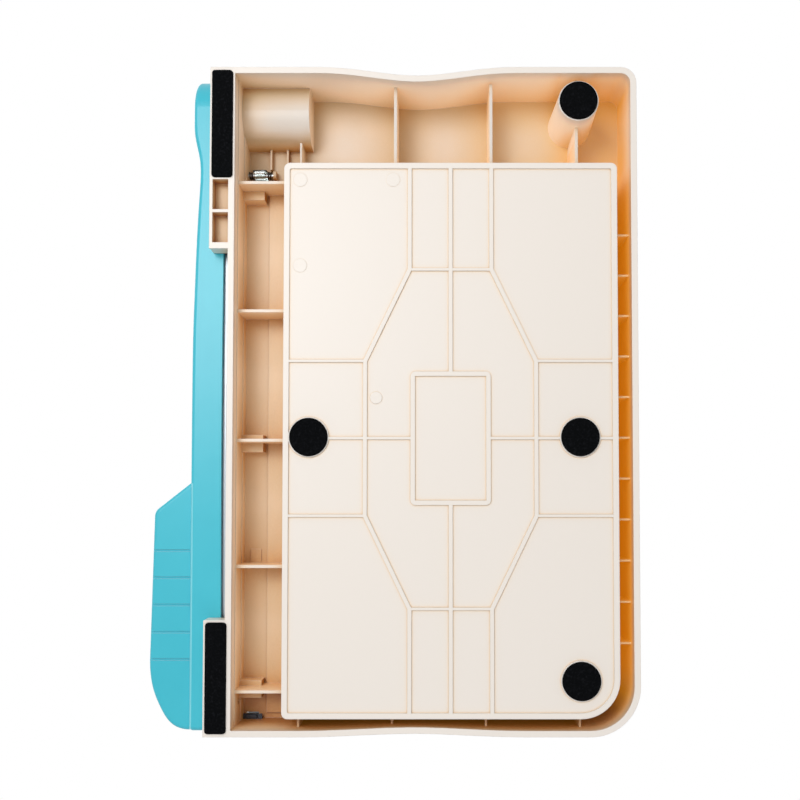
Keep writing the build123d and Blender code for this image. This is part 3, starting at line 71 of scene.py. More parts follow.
def connect(tree, node, sockets):
    """Sets sockets to numbers or colours, or links them to an output or to a node's first output in use."""
    for key, value in sockets.items():
        if isinstance(value, bpy.types.Node):
            value = next(output for output in value.outputs if output.enabled)
        if isinstance(value, bpy.types.NodeSocket):
            tree.links.new(value, node.inputs[key])
        else:
            node.inputs[key].default_value = value


def add_node(tree, kind, sockets=None, stops=(), **settings):
    """Adds one shader node with its settings and links; stops are a ramp's positions and hex colours."""
    node = tree.nodes.new("ShaderNode" + kind)
    for key, value in settings.items():
        setattr(node, key, value)
    connect(tree, node, sockets or {})
    for _ in stops[2:]:
        node.color_ramp.elements.new(0.5)
    for index, (position, colour) in enumerate(stops):
        element = node.color_ramp.elements[index]
        element.position = position
        element.color = linear(colour)
    return node


def fade(value, start, end, low=0.0, high=1.0):
    """Sockets for a Map Range node: low at start, high at end and held beyond both."""
    return {"Value": value, "From Min": start, "From Max": end, "To Min": low, "To Max": high}


def new_material(name, sockets):
    """A material with one Principled shader, its tree, the shader and the Object coordinates."""
    material = bpy.data.materials.new(name)
    material.use_nodes = True
    tree = material.node_tree
    shader = tree.nodes["Principled BSDF"]
    connect(tree, shader, sockets)
    place = add_node(tree, "TexCoord").outputs["Object"]
    return material, tree, shader, place


def dress(name, material):
    """Gives a CAD node its material."""
    mesh = nodes[name].data
    mesh.materials.clear()
    mesh.materials.append(material)


def box_of(name):
    """The lowest and highest corner of a CAD node."""
    corners = np.array([corner.co for corner in nodes[name].data.vertices], dtype=float)
    return corners.min(axis=0), corners.max(axis=0)


def moulded_skin(tree, shader, place, colour, rub_and_highlight, grain, grain_depth):
    """Edges eased and painted pale, partly as wear and partly as a painted highlight, spark-eroded grain and
    the slow waves of cooled plastic.
    """
    easing, wave_length, wave_depth = 0.45 * MM, 22 * MM, 0.05 * MM
    edge = add_node(tree, "Bevel", {"Radius": easing}, samples=6)
    true_normal = add_node(tree, "NewGeometry").outputs["Normal"]
    turn = add_node(tree, "VectorMath", {0: edge, 1: true_normal}, operation="DOT_PRODUCT")
    # Painted highlight and wear: faces that turn at an eased edge are mixed towards white.
    wear_and_highlight = add_node(tree, "MapRange", fade(turn, 0.995, 0.80, 0.0, rub_and_highlight))
    wear_and_highlight_colour = add_node(tree, "Mix", {"Factor": wear_and_highlight, "A": colour, "B": linear("#ffffff")}, data_type="RGBA")
    wave = add_node(tree, "TexNoise", {"Vector": place, "Scale": 1 / wave_length, "Detail": 1.0})
    slow = add_node(tree, "Bump", {"Height": wave, "Distance": wave_depth, "Normal": edge})
    spark = add_node(tree, "TexNoise", {"Vector": place, "Scale": 1 / grain, "Detail": 2.0})
    skin = add_node(tree, "Bump", {"Height": spark, "Distance": grain_depth, "Normal": slow})
    connect(tree, shader, {"Base Color": wear_and_highlight_colour, "Normal": skin})


def base_zones(tree, axes, upright):
    """Shares from 0 to 1: below the deck outside the well, inside the well, thin side, and the zone painted
    with a glow as if lit through it.
    """
    deep = add_node(tree, "MapRange", fade(axes.outputs["Z"], *RIM_TO_DEEP_Z))
    in_well = deep
    tub = add_node(tree, "MapRange", fade(upright, -0.6, -0.3))
    for axis, low, high in zip("XY", *box_of("storage_lid")):
        limits = {0: axes.outputs[axis], 1: (low + high) / 2, 2: (high - low) / 2 + WELL_MARGIN}
        within = add_node(tree, "Math", limits, operation="COMPARE")
        in_well = add_node(tree, "Math", {0: in_well, 1: within}, operation="MULTIPLY")
        tub = add_node(tree, "Math", {0: tub, 1: within}, operation="MULTIPLY")
    under = add_node(tree, "Math", {0: deep, 1: in_well}, operation="SUBTRACT")
    # Painted glow: the zone on the thin side, below the deck and back from the front gap, where orange light
    # is painted.
    thin = add_node(tree, "MapRange", fade(axes.outputs["X"], *THICK_TO_THIN_X))
    not_front = add_node(tree, "MapRange", fade(axes.outputs["Y"], *FRONT_GAP_Y, 1.0, 0.0))
    painted_glow_zone = add_node(tree, "Math", {0: thin, 1: not_front}, operation="MULTIPLY")
    painted_glow_zone = add_node(tree, "Math", {0: painted_glow_zone, 1: under}, operation="MULTIPLY")
    return under, tub, thin, painted_glow_zone


def paleness(tree, place, axes, openness, wall, tub, thin):
    """How pale the skin is, from painted shade up: its openness, slow random clouds of tone, and painted
    light in the rear cavity, the well, the column and on walls.
    """
    cloud = add_node(tree, "TexNoise", {"Vector": place, "Scale": 1 / (60 * MM), "Detail": 2.0})
    drift = add_node(tree, "MapRange", fade(cloud, 0.0, 1.0, -0.03, 0.03))
    # Painted light: the rear cavity, the well, the column's wall and half-open walls are lifted paler.
    cavity = add_node(tree, "MapRange", fade(axes.outputs["Y"], *REAR_CAVITY_Y, 0.0, 0.03))
    thick = add_node(tree, "Math", {0: 1.0, 1: thin}, operation="SUBTRACT")
    cavity = add_node(tree, "Math", {0: cavity, 1: thick}, operation="MULTIPLY")
    well = add_node(tree, "Math", {0: tub, 1: 0.35}, operation="MULTIPLY")
    level = add_node(tree, "CombineXYZ", {"X": axes.outputs["X"], "Y": axes.outputs["Y"]})
    away = add_node(tree, "VectorMath", {0: level, 1: COLUMN_FOOT}, operation="DISTANCE")
    column = add_node(tree, "MapRange", fade(away, *COLUMN_REACH, 0.0, 0.4))
    column = add_node(tree, "Math", {0: column, 1: wall}, operation="MULTIPLY")
    faced = add_node(tree, "MapRange", fade(openness, 0.30, 0.55, 0.0, 0.14))
    faced = add_node(tree, "Math", {0: faced, 1: wall}, operation="MULTIPLY")
    share = openness
    for part in (drift, cavity, well, column, faced):
        share = add_node(tree, "Math", {0: share, 1: part}, operation="ADD")
    return share


def inner_walls(tree, axes, openness, wall, under):
    """The share of a face that is a wall inside the skirt, on the well's side of the cut."""
    inside = add_node(tree, "MapRange", fade(openness, 0.985, 0.90))
    behind_cut = add_node(tree, "Math", {0: axes.outputs["X"], 1: CHANNEL_SIDE_X}, operation="LESS_THAN")
    share = wall
    for part in (inside, under, behind_cut):
        share = add_node(tree, "Math", {0: share, 1: part}, operation="MULTIPLY")
    return share


def thick_shade(tree, axes, wall, under):
    """Painted shade: how much darker the pivot housing and the ceiling of the rear cavity are painted."""
    housing = add_node(tree, "MapRange", fade(axes.outputs["X"], *HOUSING_X, 0.0, 0.16))
    ceiling = add_node(tree, "Math", {0: 1.0, 1: wall}, operation="SUBTRACT")
    ceiling = add_node(tree, "Math", {0: ceiling, 1: 0.13}, operation="MULTIPLY")
    rear = add_node(tree, "MapRange", fade(axes.outputs["Y"], *HOUSING_Y))
    shade = add_node(tree, "Math", {0: housing, 1: ceiling}, operation="MAXIMUM")
    for part in (rear, under):
        shade = add_node(tree, "Math", {0: shade, 1: part}, operation="MULTIPLY")
    return shade


def light_through_walls(tree, shader, openness, share, inner_wall, painted_glow_zone):
    """A faint glow that stands for light through the moulding, orange in the gaps and pale on the walls."""
    glow = add_node(tree, "MapRange", fade(share, 0.65, 0.05, 0.0, 0.095))
    glow = add_node(tree, "Math", {0: glow, 1: painted_glow_zone}, operation="MULTIPLY")
    wall_glow = add_node(tree, "MapRange", fade(openness, 0.12, 0.50, 0.03, 0.17))
    wall_glow = add_node(tree, "Math", {0: inner_wall, 1: wall_glow}, operation="MULTIPLY")
    both = add_node(tree, "Math", {0: glow, 1: wall_glow}, operation="ADD")
    orange = add_node(tree, "MapRange", fade(openness, 0.35, 0.15))
    ends = {"Factor": orange, "A": linear("#ffdcb8"), "B": linear("#ffb81e")}
    hue = add_node(tree, "Mix", ends, data_type="RGBA")
    connect(tree, shader, {"Emission Color": hue, "Emission Strength": both})


def ivory_abs(name, shade_reach, printed=False):
    """Ivory ABS with painted light and shade: pale where open, painted tan shade where the moulding closes
    in, and a painted orange glow where light would come through it.
    """
    material, tree, shader, place = new_material(name, {"Roughness": 0.42, "IOR": 1.5})
    axes = add_node(tree, "SeparateXYZ", {"Vector": place})
    normal = add_node(tree, "NewGeometry").outputs["Normal"]
    upright = add_node(tree, "SeparateXYZ", {"Vector": normal}).outputs["Z"]
    slope = add_node(tree, "Math", {0: upright}, operation="ABSOLUTE")
    wall = add_node(tree, "MapRange", fade(slope, 0.5, 0.2))
    nearby = add_node(tree, "AmbientOcclusion", {"Distance": shade_reach}, samples=8, only_local=True)
    openness = nearby.outputs["AO"]
    under, tub, thin, painted_glow_zone = base_zones(tree, axes, upright)
    share = paleness(tree, place, axes, openness, wall, tub, thin)
    # Painted shade and light: the colour runs from painted orange-brown shade in closed places to the open
    # ivory, with a painted orange glow mixed in on the thin side.
    plain = add_node(tree, "ValToRGB", {"Fac": share}, IVORY_AND_SHADE_STOPS)
    orange = add_node(tree, "ValToRGB", {"Fac": share}, IVORY_AND_GLOW_STOPS)
    colour = add_node(tree, "Mix", {"Factor": painted_glow_zone, "A": plain, "B": orange}, data_type="RGBA")
    inner_wall = inner_walls(tree, axes, openness, wall, under)
    # Painted light and painted shade: inner walls tinted peach as if lit through the moulding, the pivot
    # housing and the rear cavity's ceiling painted darker.
    painted_through_light = add_node(tree, "Math", {0: inner_wall, 1: 0.15}, operation="MULTIPLY")
    shade = thick_shade(tree, axes, wall, under)
    for amount, tone in ((painted_through_light, "#ffcc90"), (shade, "#000000")):
        colour = add_node(tree, "Mix", {"Factor": amount, "A": colour, "B": linear(tone)}, data_type="RGBA")
    light_through_walls(tree, shader, openness, share, inner_wall, painted_glow_zone)
    if printed:
        colour = printed_grid(tree, axes, colour)
    moulded_skin(tree, shader, place, colour, 0.35, MOULD_GRAIN, MOULD_GRAIN_DEPTH)
    return material


# Lines printed on the bed. A pale grid of 10 mm squares is set out from the cut and from the paper stop, so
# it sits on the deck and the lid alike. The ink is a thin film of turquoise grey.
CUT_X = float(box_of("bed_knife")[1][0])
STOP_Y = float(box_of("paper_stop")[0][1])
BED_Z = float(box_of("storage_lid")[1][2]) - 0.3 * MM
GRID_PITCH = 10 * MM
GRID_LINE = 0.35 * MM
GRID_FRONT_Y = -178.4 * MM
GRID_FAR_X = -136.5 * MM


def line_mask(tree, value, start, pitch, width):
    """1 within half a width of start plus whole pitches, else 0."""
    away = add_node(tree, "Math", {0: value, 1: start}, operation="SUBTRACT")
    near = add_node(tree, "Math", {0: away, 1: pitch / 2}, operation="PINGPONG")
    return add_node(tree, "Math", {0: near, 1: width / 2}, operation="LESS_THAN")


def printed_grid(tree, axes, colour):
    """The base colour with the printed grid laid over it on the bed's top face."""
    x_lines = line_mask(tree, axes.outputs["X"], CUT_X, GRID_PITCH, GRID_LINE)
    y_lines = line_mask(tree, axes.outputs["Y"], STOP_Y, GRID_PITCH, GRID_LINE)
    lines = add_node(tree, "Math", {0: x_lines, 1: y_lines}, operation="MAXIMUM")
    inked = add_node(tree, "Math", {0: lines, 1: 0.6}, operation="MULTIPLY")
    edges = (("Z", BED_Z, "GREATER_THAN"), ("Y", STOP_Y, "LESS_THAN"), ("Y", GRID_FRONT_Y, "GREATER_THAN"),
             ("X", GRID_FAR_X, "GREATER_THAN"), ("X", CUT_X, "LESS_THAN"))
    for axis, limit, side in edges:
        within = add_node(tree, "Math", {0: axes.outputs[axis], 1: limit}, operation=side)
        inked = add_node(tree, "Math", {0: inked, 1: within}, operation="MULTIPLY")
    return add_node(tree, "Mix", {"Factor": inked, "A": colour, "B": linear("#8fb9c2")}, data_type="RGBA")


dress("base_shell", ivory_abs("ivory_abs_moulded_shell", BASE_SHADE_REACH, printed=True))


# Rubber feet, long pads and the clamp's grip strips. All are cut from black cell rubber and stuck on. The
# cut foam is matt and nearly black, and its open cells show as faint grey specks.
def cell_rubber(name):
    """Black cell rubber with cells just under 1 mm across and a coarser dust between them."""
    material, tree, shader, place = new_material(name, {"Roughness": 0.85, "Specular IOR Level": 0.05})
    cell, dust, cell_depth = 0.9 * MM, 1.6 * MM, 0.15 * MM
    cells = add_node(tree, "TexVoronoi", {"Vector": place, "Scale": 1 / cell})
    dusty = add_node(tree, "TexNoise", {"Vector": place, "Scale": 1 / dust, "Detail": 3.0})
    both = add_node(tree, "Math", {0: cells, 1: dusty}, operation="MULTIPLY")
    stops = [(0.05, "#020304"), (0.30, "#07080a"), (0.55, "#141518")]
    colour = add_node(tree, "ValToRGB", {"Fac": both}, stops)
    bump = add_node(tree, "Bump", {"Height": both, "Distance": cell_depth})
    connect(tree, shader, {"Base Color": colour, "Normal": bump})
    return material


black_foam = cell_rubber("black_cell_rubber")
for name in ("round_rubber_feet", "rear_rubber_pad", "front_rubber_pad", "clamp_grip_strips"):
    dress(name, black_foam)


# Bed knife, moving blade and its carrier bar. The two blades are ground tool steel, with the grinding marks
# running along the edge. The carrier is zinc-plated mild steel, duller and slightly blue.
def ground_steel(name, colour, roughness):
    """Steel with fine grinding marks drawn out along Y."""
    material, tree, shader, place = new_material(name, {"Metallic": 1.0, "Roughness": roughness})
    mark_width, mark_length, mark_depth, easing = 0.35 * MM, 30 * MM, 0.01 * MM, 0.15 * MM
    drawn_out = (1 / mark_width, 1 / mark_length, 1 / mark_width)
    drawn = add_node(tree, "Mapping", {"Vector": place, "Scale": drawn_out})
    marks = add_node(tree, "TexNoise", {"Vector": drawn, "Scale": 1.0, "Detail": 3.0})
    light = linear(colour)
    dark = [c * 0.72 for c in light[:3]] + [1.0]
    tint = add_node(tree, "Mix", {"Factor": marks, "A": dark, "B": light}, data_type="RGBA")
    rough = add_node(tree, "MapRange", fade(marks, 0.0, 1.0, roughness - 0.08, roughness + 0.12))
    edge = add_node(tree, "Bevel", {"Radius": easing}, samples=4)
    bump = add_node(tree, "Bump", {"Height": marks, "Distance": mark_depth, "Normal": edge})
    connect(tree, shader, {"Base Color": tint, "Roughness": rough, "Normal": bump})
    return material


blade_steel = ground_steel("ground_tool_steel", "#b3b5b8", 0.26)
dress("bed_knife", blade_steel)
dress("moving_blade", blade_steel)
dress("blade_carrier", ground_steel("zinc_plated_bar", "#b9bec4", 0.36))


# Screws, pins, nut, washers and pivot bolt. Turned or headed mild steel, zinc-plated in the barrel, so it is
# bright, slightly cloudy and without direction.
def plated_steel(name, colour, roughness):
    """Plated steel with clouds about 1.4 mm wide in its shine and its tone."""
    material, tree, shader, place = new_material(name, {"Metallic": 1.0, "Roughness": roughness})
    cloud_width, easing = 1.4 * MM, 0.2 * MM
    cloud = add_node(tree, "TexNoise", {"Vector": place, "Scale": 1 / cloud_width, "Detail": 3.0})
    rough = add_node(tree, "MapRange", fade(cloud, 0.0, 1.0, roughness - 0.08, roughness + 0.12))
    light = linear(colour)
    dark = [c * 0.8 for c in light[:3]] + [1.0]
    tint = add_node(tree, "Mix", {"Factor": cloud, "A": dark, "B": light}, data_type="RGBA")
    edge = add_node(tree, "Bevel", {"Radius": easing}, samples=4)
    connect(tree, shader, {"Base Color": tint, "Roughness": rough, "Normal": edge})
    return material


zinc = plated_steel("zinc_plated_steel", "#c8cbd0", 0.28)
for name in ("bed_knife_screws", "blade_screws", "handle_screws", "pivot_bolt", "pivot_washers",
             "pivot_lock_nut", "pivot_cover_screws", "paper_stop_screws", "clamp_hinge_pin", "lid_hinge_pins",
             "lock_bolt"):
    dress(name, zinc)


# Clamp hook and its catch. Both are bent from blackened spring steel, thin and springy, so that the bar
# snaps down past the catch. The finish is a dull blue-black.
blackened = plated_steel("blackened_spring_steel", "#4c5159", 0.4)
for name in ("clamp_catch_plate", "clamp_hook"):
    dress(name, blackened)


# Cross recesses in the screw heads. Each is struck into the head in the header. Here it is a flat cross
# just proud of the head, dark with painted shade for the recess's depth, with places and sizes in mm.
CROSS_ARM_SHARE = 0.3
CROSS_LIFT = 0.02 * MM
COVER_SCREW_X, COVER_SCREW_YS, COVER_HEAD_Z = 45.0, (161.6, 178.6), 42.4
KNIFE_HEAD_X, KNIFE_SCREW_Z = 93.8, 33.5
KNIFE_SCREW_YS = (123.3, 48.4, -26.4, -98.7, -169.8)
BLADE_HEAD_X, BLADE_SCREW_Z = 94.4, 27.2
BLADE_SCREW_YS = np.linspace(-143.9, 126.1, 6)
COVER_CROSS_REACH, KNIFE_CROSS_REACH, BLADE_CROSS_REACH = 1.6, 1.8, 1.9


def cross_outline(reach, arm):
    """The twelve corners of an upright cross, from its lower right corner."""
    return [(arm, -reach), (arm, -arm), (reach, -arm), (reach, arm), (arm, arm), (arm, reach),
            (-arm, reach), (-arm, arm), (-reach, arm), (-reach, -arm), (-arm, -arm), (-arm, -reach)]


def recesses(name, body, centres, facing, reach):
    """One mesh with a cross on each screw head, facing up, left or right, that rides on the screws' body."""
    corners, faces = [], []
    for x, y, z in centres:
        first = len(corners)
        for u, v in cross_outline(reach * MM, reach * CROSS_ARM_SHARE * MM):
            steps = {"up": (u, v, CROSS_LIFT), "left": (CROSS_LIFT, u, v), "right": (-CROSS_LIFT, -u, v)}
            dx, dy, dz = steps[facing]
            corners.append((x * MM + dx, y * MM + dy, z * MM + dz))
        faces.append(tuple(range(first, len(corners))))
    mesh = bpy.data.meshes.new(name)
    mesh.from_pydata(corners, [], faces)
    mesh.update()
    mesh.materials.append(recess_painted_shade)
    crosses = bpy.data.objects.new(name, mesh)
    bpy.context.scene.collection.objects.link(crosses)
    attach(crosses, body)


# Painted shade: the cross is dark steel, standing for the shade down in the recess.
recess_painted_shade = plated_steel("recess_painted_shade_steel", "#3a3c40", 0.5)
recesses("cover_screw_recesses", "base", [(COVER_SCREW_X, y, COVER_HEAD_Z) for y in COVER_SCREW_YS],
         "up", COVER_CROSS_REACH)
recesses("knife_screw_recesses", "base", [(KNIFE_HEAD_X, y, KNIFE_SCREW_Z) for y in KNIFE_SCREW_YS],
         "left", KNIFE_CROSS_REACH)
recesses("blade_screw_recesses", "arm", [(BLADE_HEAD_X, y, BLADE_SCREW_Z) for y in BLADE_SCREW_YS],
         "right", BLADE_CROSS_REACH)


# Springs on the clamp's pin and on the pivot bolt. Hard-drawn steel wire, oiled and dark, coiled cold. The
# drawing marks along the wire are too fine to see.
spring_wire = plated_steel("oiled_spring_wire", "#4a4846", 0.34)
dress("clamp_spring", spring_wire)
dress("pivot_spring", spring_wire)


# Thrust washer and hub bush. Turned black acetal, a hard waxy plastic that runs dry on steel, with the
# lathe's fine roughness left on it.
def turned_acetal(name):
    """Black acetal with a faint uneven roughness about 0.6 mm wide."""
    finish = {"Base Color": linear("#1b1c1e"), "Roughness": 0.4, "IOR": 1.48}
    material, tree, shader, place = new_material(name, finish)
    mark_width, mark_depth = 0.6 * MM, 0.02 * MM
    marks = add_node(tree, "TexNoise", {"Vector": place, "Scale": 1 / mark_width, "Detail": 2.0})
    connect(tree, shader, {"Normal": add_node(tree, "Bump", {"Height": marks, "Distance": mark_depth})})
    return material


acetal = turned_acetal("black_acetal")
dress("thrust_washer", acetal)
dress("arm_bush", acetal)


# Arm, grip, pivot cover, hub cap and lock button. All are moulded in the same turquoise ABS, a little
# glossier than the base. A painted highlight runs as a pale line along the arm's lower edge, beside the grip.
PAINTED_HIGHLIGHT_X, PAINTED_HIGHLIGHT_HALF_WIDTH = 115.4 * MM, 0.75 * MM
PAINTED_HIGHLIGHT_REAR_Y, PAINTED_HIGHLIGHT_TOP_Z = -50 * MM, 24 * MM
TURQUOISE_GRAIN = 0.6 * MM
TURQUOISE_GRAIN_DEPTH = 0.01 * MM


def turquoise_abs(name):
    """Turquoise ABS: an even through-coloured plastic with a faint flow mottle, and a painted highlight line
    along the arm's lower edge.
    """
    material, tree, shader, place = new_material(name, {"Roughness": 0.34, "IOR": 1.54})
    flow = add_node(tree, "TexNoise", {"Vector": place, "Scale": 1 / (45 * MM), "Detail": 3.0})
    colour = add_node(tree, "ValToRGB", {"Fac": flow}, [(0.30, "#30b9cd"), (0.70, "#3ac0d3")])
    axes = add_node(tree, "SeparateXYZ", {"Vector": place})
    # Painted highlight: a pale line along the arm's lower edge, below the top and in front of the hub.
    across = {0: axes.outputs["X"], 1: PAINTED_HIGHLIGHT_X, 2: PAINTED_HIGHLIGHT_HALF_WIDTH}
    painted_highlight = add_node(tree, "Math", across, operation="COMPARE")
    for axis, limit in (("Y", PAINTED_HIGHLIGHT_REAR_Y), ("Z", PAINTED_HIGHLIGHT_TOP_Z)):
        within = add_node(tree, "Math", {0: axes.outputs[axis], 1: limit}, operation="LESS_THAN")
        painted_highlight = add_node(tree, "Math", {0: painted_highlight, 1: within}, operation="MULTIPLY")
    painted_highlight = add_node(tree, "Math", {0: painted_highlight, 1: 0.5}, operation="MULTIPLY")
    colour = add_node(tree, "Mix", {"Factor": painted_highlight, "A": colour, "B": linear("#a8eef4")}, data_type="RGBA")
    moulded_skin(tree, shader, place, colour, 0.16, TURQUOISE_GRAIN, TURQUOISE_GRAIN_DEPTH)
    return material


turquoise = turquoise_abs("turquoise_abs_moulded")
for name in ("arm_shell", "handle_lower", "handle_upper", "pivot_cover", "pivot_cap", "lock_button"):
    dress(name, turquoise)


# Storage lid and paper stop. Flat ivory ABS mouldings of the same colour as the base, so the bed looks like
# one surface. Being shallow, they take their shade from nearer walls.
LID_SHADE_REACH = 12 * MM
STOP_SHADE_REACH = 8 * MM
dress("storage_lid", ivory_abs("ivory_abs_lid", LID_SHADE_REACH, printed=True))
dress("paper_stop", ivory_abs("ivory_abs_stop", STOP_SHADE_REACH))


# Scale strip. A white satin film let into the paper stop and printed in black. Its ticks stand at every 1, 5
# and 10 mm from the cut, longer for the longer step.
FILM_FRONT_Y = STOP_Y + 1.5 * MM
TICKS = ((1 * MM, 0.14 * MM, 1.4 * MM), (5 * MM, 0.18 * MM, 2.0 * MM), (10 * MM, 0.26 * MM, 2.8 * MM))


def printed_film(name):
    """White film with three sets of ticks, each with a pitch, a line width and a length."""
    material, tree, shader, place = new_material(name, {"Roughness": 0.45, "IOR": 1.5})
    axes = add_node(tree, "SeparateXYZ", {"Vector": place})
    marks = 0.0
    for pitch, width, length in TICKS:
        line = line_mask(tree, axes.outputs["X"], CUT_X, pitch, width)
        ahead = {0: axes.outputs["Y"], 1: FILM_FRONT_Y + length}
        short = add_node(tree, "Math", ahead, operation="LESS_THAN")
        tick = add_node(tree, "Math", {0: line, 1: short}, operation="MULTIPLY")
        marks = add_node(tree, "Math", {0: marks, 1: tick}, operation="MAXIMUM")
    ends = {"Factor": marks, "A": linear("#f3f3f0"), "B": linear("#1d2226")}
    connect(tree, shader, {"Base Color": add_node(tree, "Mix", ends, data_type="RGBA")})
    return material


dress("scale_strip", printed_film("printed_white_film"))


# Numbers on the scale. Thin black ink, printed on the film behind the ticks: whole centimetres from the cut,
# as far as the film reaches.
FIRST_NUMBER, LAST_NUMBER, NUMBER_PITCH = 3, 22, 10 * MM
NUMBER_HEIGHT = 3.1 * MM
NUMBER_FOOT_Y = STOP_Y + 5.2 * MM
INK_Z = float(box_of("scale_strip")[1][2]) + 0.03 * MM


def flat_number(text, x):
    """The filled outlines of a number with its middle at x, as corners and faces."""
    curve = bpy.data.curves.new("number", "FONT")
    curve.body = text
    curve.size = NUMBER_HEIGHT
    curve.align_x = "CENTER"
    drawn = bpy.data.objects.new("number", curve)
    bpy.context.scene.collection.objects.link(drawn)
    bpy.context.view_layer.update()
    mesh = bpy.data.meshes.new_from_object(drawn.evaluated_get(bpy.context.evaluated_depsgraph_get()))
    bpy.data.objects.remove(drawn)
    corners = [(corner.co.x + x, corner.co.y + NUMBER_FOOT_Y, INK_Z) for corner in mesh.vertices]
    faces = [tuple(face.vertices) for face in mesh.polygons]
    bpy.data.meshes.remove(mesh)
    return corners, faces


def scale_numbers():
    """One mesh with every number, in slightly worn ink, that rides on the base."""
    corners, faces = [], []
    for number in range(FIRST_NUMBER, LAST_NUMBER + 1):
        points, loops = flat_number(str(number), CUT_X - number * NUMBER_PITCH)
        faces += [tuple(i + len(corners) for i in loop) for loop in loops]
        corners += points
    mesh = bpy.data.meshes.new("scale_numbers")
    mesh.from_pydata(corners, [], faces)
    mesh.update()
    material, tree, shader, place = new_material("black_scale_ink", {"Roughness": 0.5, "IOR": 1.5})
    wear = add_node(tree, "TexNoise", {"Vector": place, "Scale": 1 / (0.3 * MM), "Detail": 2.0})
    ink = add_node(tree, "ValToRGB", {"Fac": wear}, [(0.35, "#14181b"), (0.75, "#2a2f33")])
    connect(tree, shader, {"Base Color": ink})
    mesh.materials.append(material)
    numbers = bpy.data.objects.new("scale_numbers", mesh)
    bpy.context.scene.collection.objects.link(numbers)
    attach(numbers, "base")


scale_numbers()


# Clamp bar. A strip of clear acrylic with polished edges, so the sheet and the cut show through it. Handling
# leaves faint smears on it.
def clear_acrylic(name):
    """Clear acrylic with the faint blue-green of its edge and smears about 12 mm wide."""
    clear = {"Base Color": linear("#e9f6f5"), "Roughness": 0.06, "IOR": 1.49, "Transmission Weight": 0.92}
    material, tree, shader, place = new_material(name, clear)
    smear = add_node(tree, "TexNoise", {"Vector": place, "Scale": 1 / (12 * MM), "Detail": 4.0})
    connect(tree, shader, {"Roughness": add_node(tree, "MapRange", fade(smear, 0.45, 0.8, 0.04, 0.16))})
    return material


dress("clamp_bar", clear_acrylic("clear_acrylic"))


# Floor. A plain pale sheet, not part of the machine, that fades to white far out. It can't be seen from
# below and holds back no light, because the photo looks up at the underside.
FLOOR_HALF = 3.0
FLOOR_FADE = (0.5, 1.5)


def floor_sheet():
    """A square sheet at the level of the feet, diffuse from above and clear from below."""
    outline = [(x * FLOOR_HALF, y * FLOOR_HALF, 0) for x, y in ((-1, -1), (1, -1), (1, 1), (-1, 1))]
    mesh = bpy.data.meshes.new("floor")
    mesh.from_pydata(outline, [], [(0, 1, 2, 3)])
    floor = bpy.data.objects.new("floor", mesh)
    bpy.context.scene.collection.objects.link(floor)
    material = bpy.data.materials.new("pale_floor_paper")
    material.use_nodes = True
    tree = material.node_tree
    tree.nodes.clear()
    below = add_node(tree, "NewGeometry").outputs["Backfacing"]
    place = add_node(tree, "TexCoord").outputs["Object"]
    away = add_node(tree, "VectorMath", {0: place}, operation="LENGTH")
    far = add_node(tree, "MapRange", fade(away, *FLOOR_FADE), interpolation_type="SMOOTHSTEP")
    sheet = add_node(tree, "BsdfDiffuse", {"Color": linear("#f1f1ef")})
    white = add_node(tree, "Emission", {"Color": linear("#ffffff")})
    paper = add_node(tree, "MixShader", {0: far, 1: sheet, 2: white})
    clear = add_node(tree, "BsdfTransparent")
    mixed = add_node(tree, "MixShader", {0: below, 1: paper, 2: clear})
    add_node(tree, "OutputMaterial", {"Surface": mixed})
    mesh.materials.append(material)
    floor.visible_diffuse = False
    floor.visible_glossy = False
    floor.visible_transmission = False
    floor.visible_shadow = False
    return floor


floor_sheet()


# World and lamps. A white room: even light from all round and large soft lamps, the strongest below the
# pivot end on the arm's side, as in the photo, and one pair above for the top.
ROOM_LIGHT = 0.48


def white_room():
    """A world that lights gently, and shows as white to the camera, in reflections and through acrylic."""
    world = bpy.data.worlds.new("white_room")
    bpy.context.scene.world = world
    world.use_nodes = True
    tree = world.node_tree
    tree.nodes.clear()
    path = add_node(tree, "LightPath")
    seen = path.outputs["Is Camera Ray"]
    for ray in ("Is Glossy Ray", "Is Transmission Ray"):
        seen = add_node(tree, "Math", {0: seen, 1: path.outputs[ray]}, operation="MAXIMUM")
    light = add_node(tree, "Background", {"Color": linear("#ffffff"), "Strength": ROOM_LIGHT})
    backdrop = add_node(tree, "Background", {"Color": linear("#ffffff"), "Strength": 1.0})
    mixed = add_node(tree, "MixShader", {0: seen, 1: light, 2: backdrop})
    add_node(tree, "OutputWorld", {"Surface": mixed})


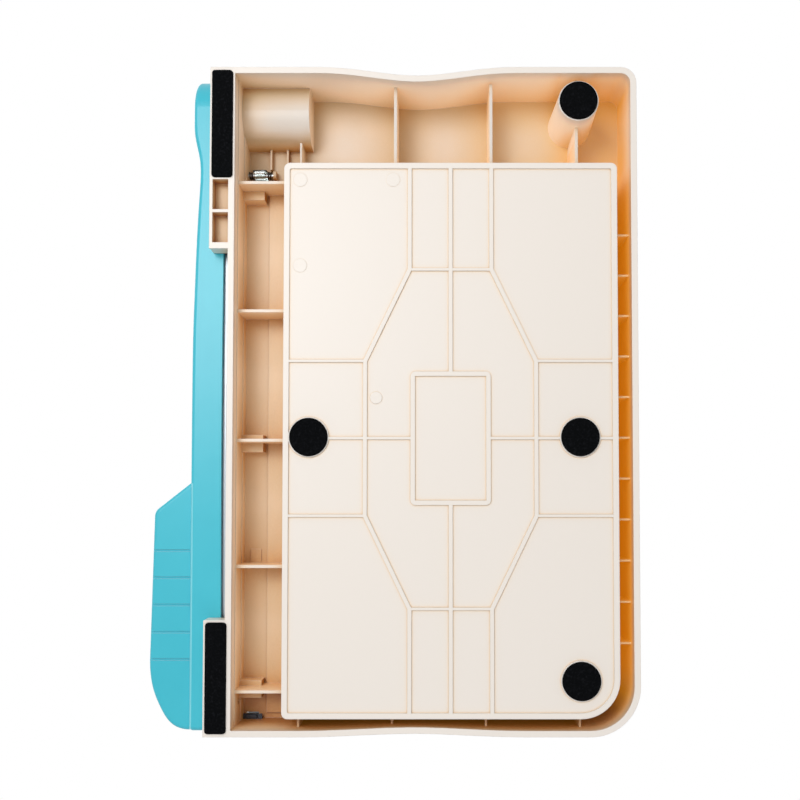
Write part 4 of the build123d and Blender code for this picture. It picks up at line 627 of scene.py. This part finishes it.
def soft_lamp(name, place, aim, size, power):
    """A square soft lamp that faces a point."""
    data = bpy.data.lights.new(name, "AREA")
    data.size = size
    data.energy = power
    lamp = bpy.data.objects.new(name, data)
    lamp.location = place
    lamp.rotation_euler = (Vector(aim) - Vector(place)).to_track_quat("-Z", "Y").to_euler()
    lamp.visible_camera = False
    bpy.context.scene.collection.objects.link(lamp)


white_room()
soft_lamp("under_key", place=(0.40, 0.36, -1.0), aim=(0, 0, 0.02), size=0.5, power=6.3)
soft_lamp("under_fill", place=(-0.2, -0.7, -1.1), aim=(0, 0, 0.02), size=0.9, power=1.7)
soft_lamp("top_key", place=(-0.7, -0.9, 1.5), aim=(0, 0, 0.03), size=0.9, power=18)
soft_lamp("top_fill", place=(0.9, 0.6, 1.4), aim=(0, 0, 0.03), size=1.2, power=5)


# Camera. It stands under the machine and looks almost straight up, tilted a little towards the pivot end,
# with the machine's right side at the picture's left.
CAMERA_PLACE = (-25.2 * MM, -57.1 * MM, -480.7 * MM)
CAMERA_TILT = math.radians(1.85)
CAMERA_LENS, CAMERA_SENSOR = 38.52, 36
CAMERA_SHIFT_X, CAMERA_SHIFT_Y = -0.045, 0.085
CAMERA_NEAR = 10 * MM


def under_camera():
    """The photo's view: place, tilt, lens and shift were fitted to the machine's edges."""
    right = Vector((-1, 0, 0))
    up = Vector((0, math.cos(CAMERA_TILT), -math.sin(CAMERA_TILT)))
    ahead = Vector((0, math.sin(CAMERA_TILT), math.cos(CAMERA_TILT)))
    turn = Matrix((right, up, -ahead)).transposed().to_4x4()
    data = bpy.data.cameras.new("camera")
    data.sensor_width = CAMERA_SENSOR
    data.lens = CAMERA_LENS
    data.shift_x = CAMERA_SHIFT_X
    data.shift_y = CAMERA_SHIFT_Y
    data.clip_start = CAMERA_NEAR
    camera = bpy.data.objects.new("camera", data)
    camera.matrix_world = Matrix.Translation(CAMERA_PLACE) @ turn
    bpy.context.scene.collection.objects.link(camera)
    bpy.context.scene.camera = camera


under_camera()
bpy.context.scene.view_settings.view_transform = "Standard"
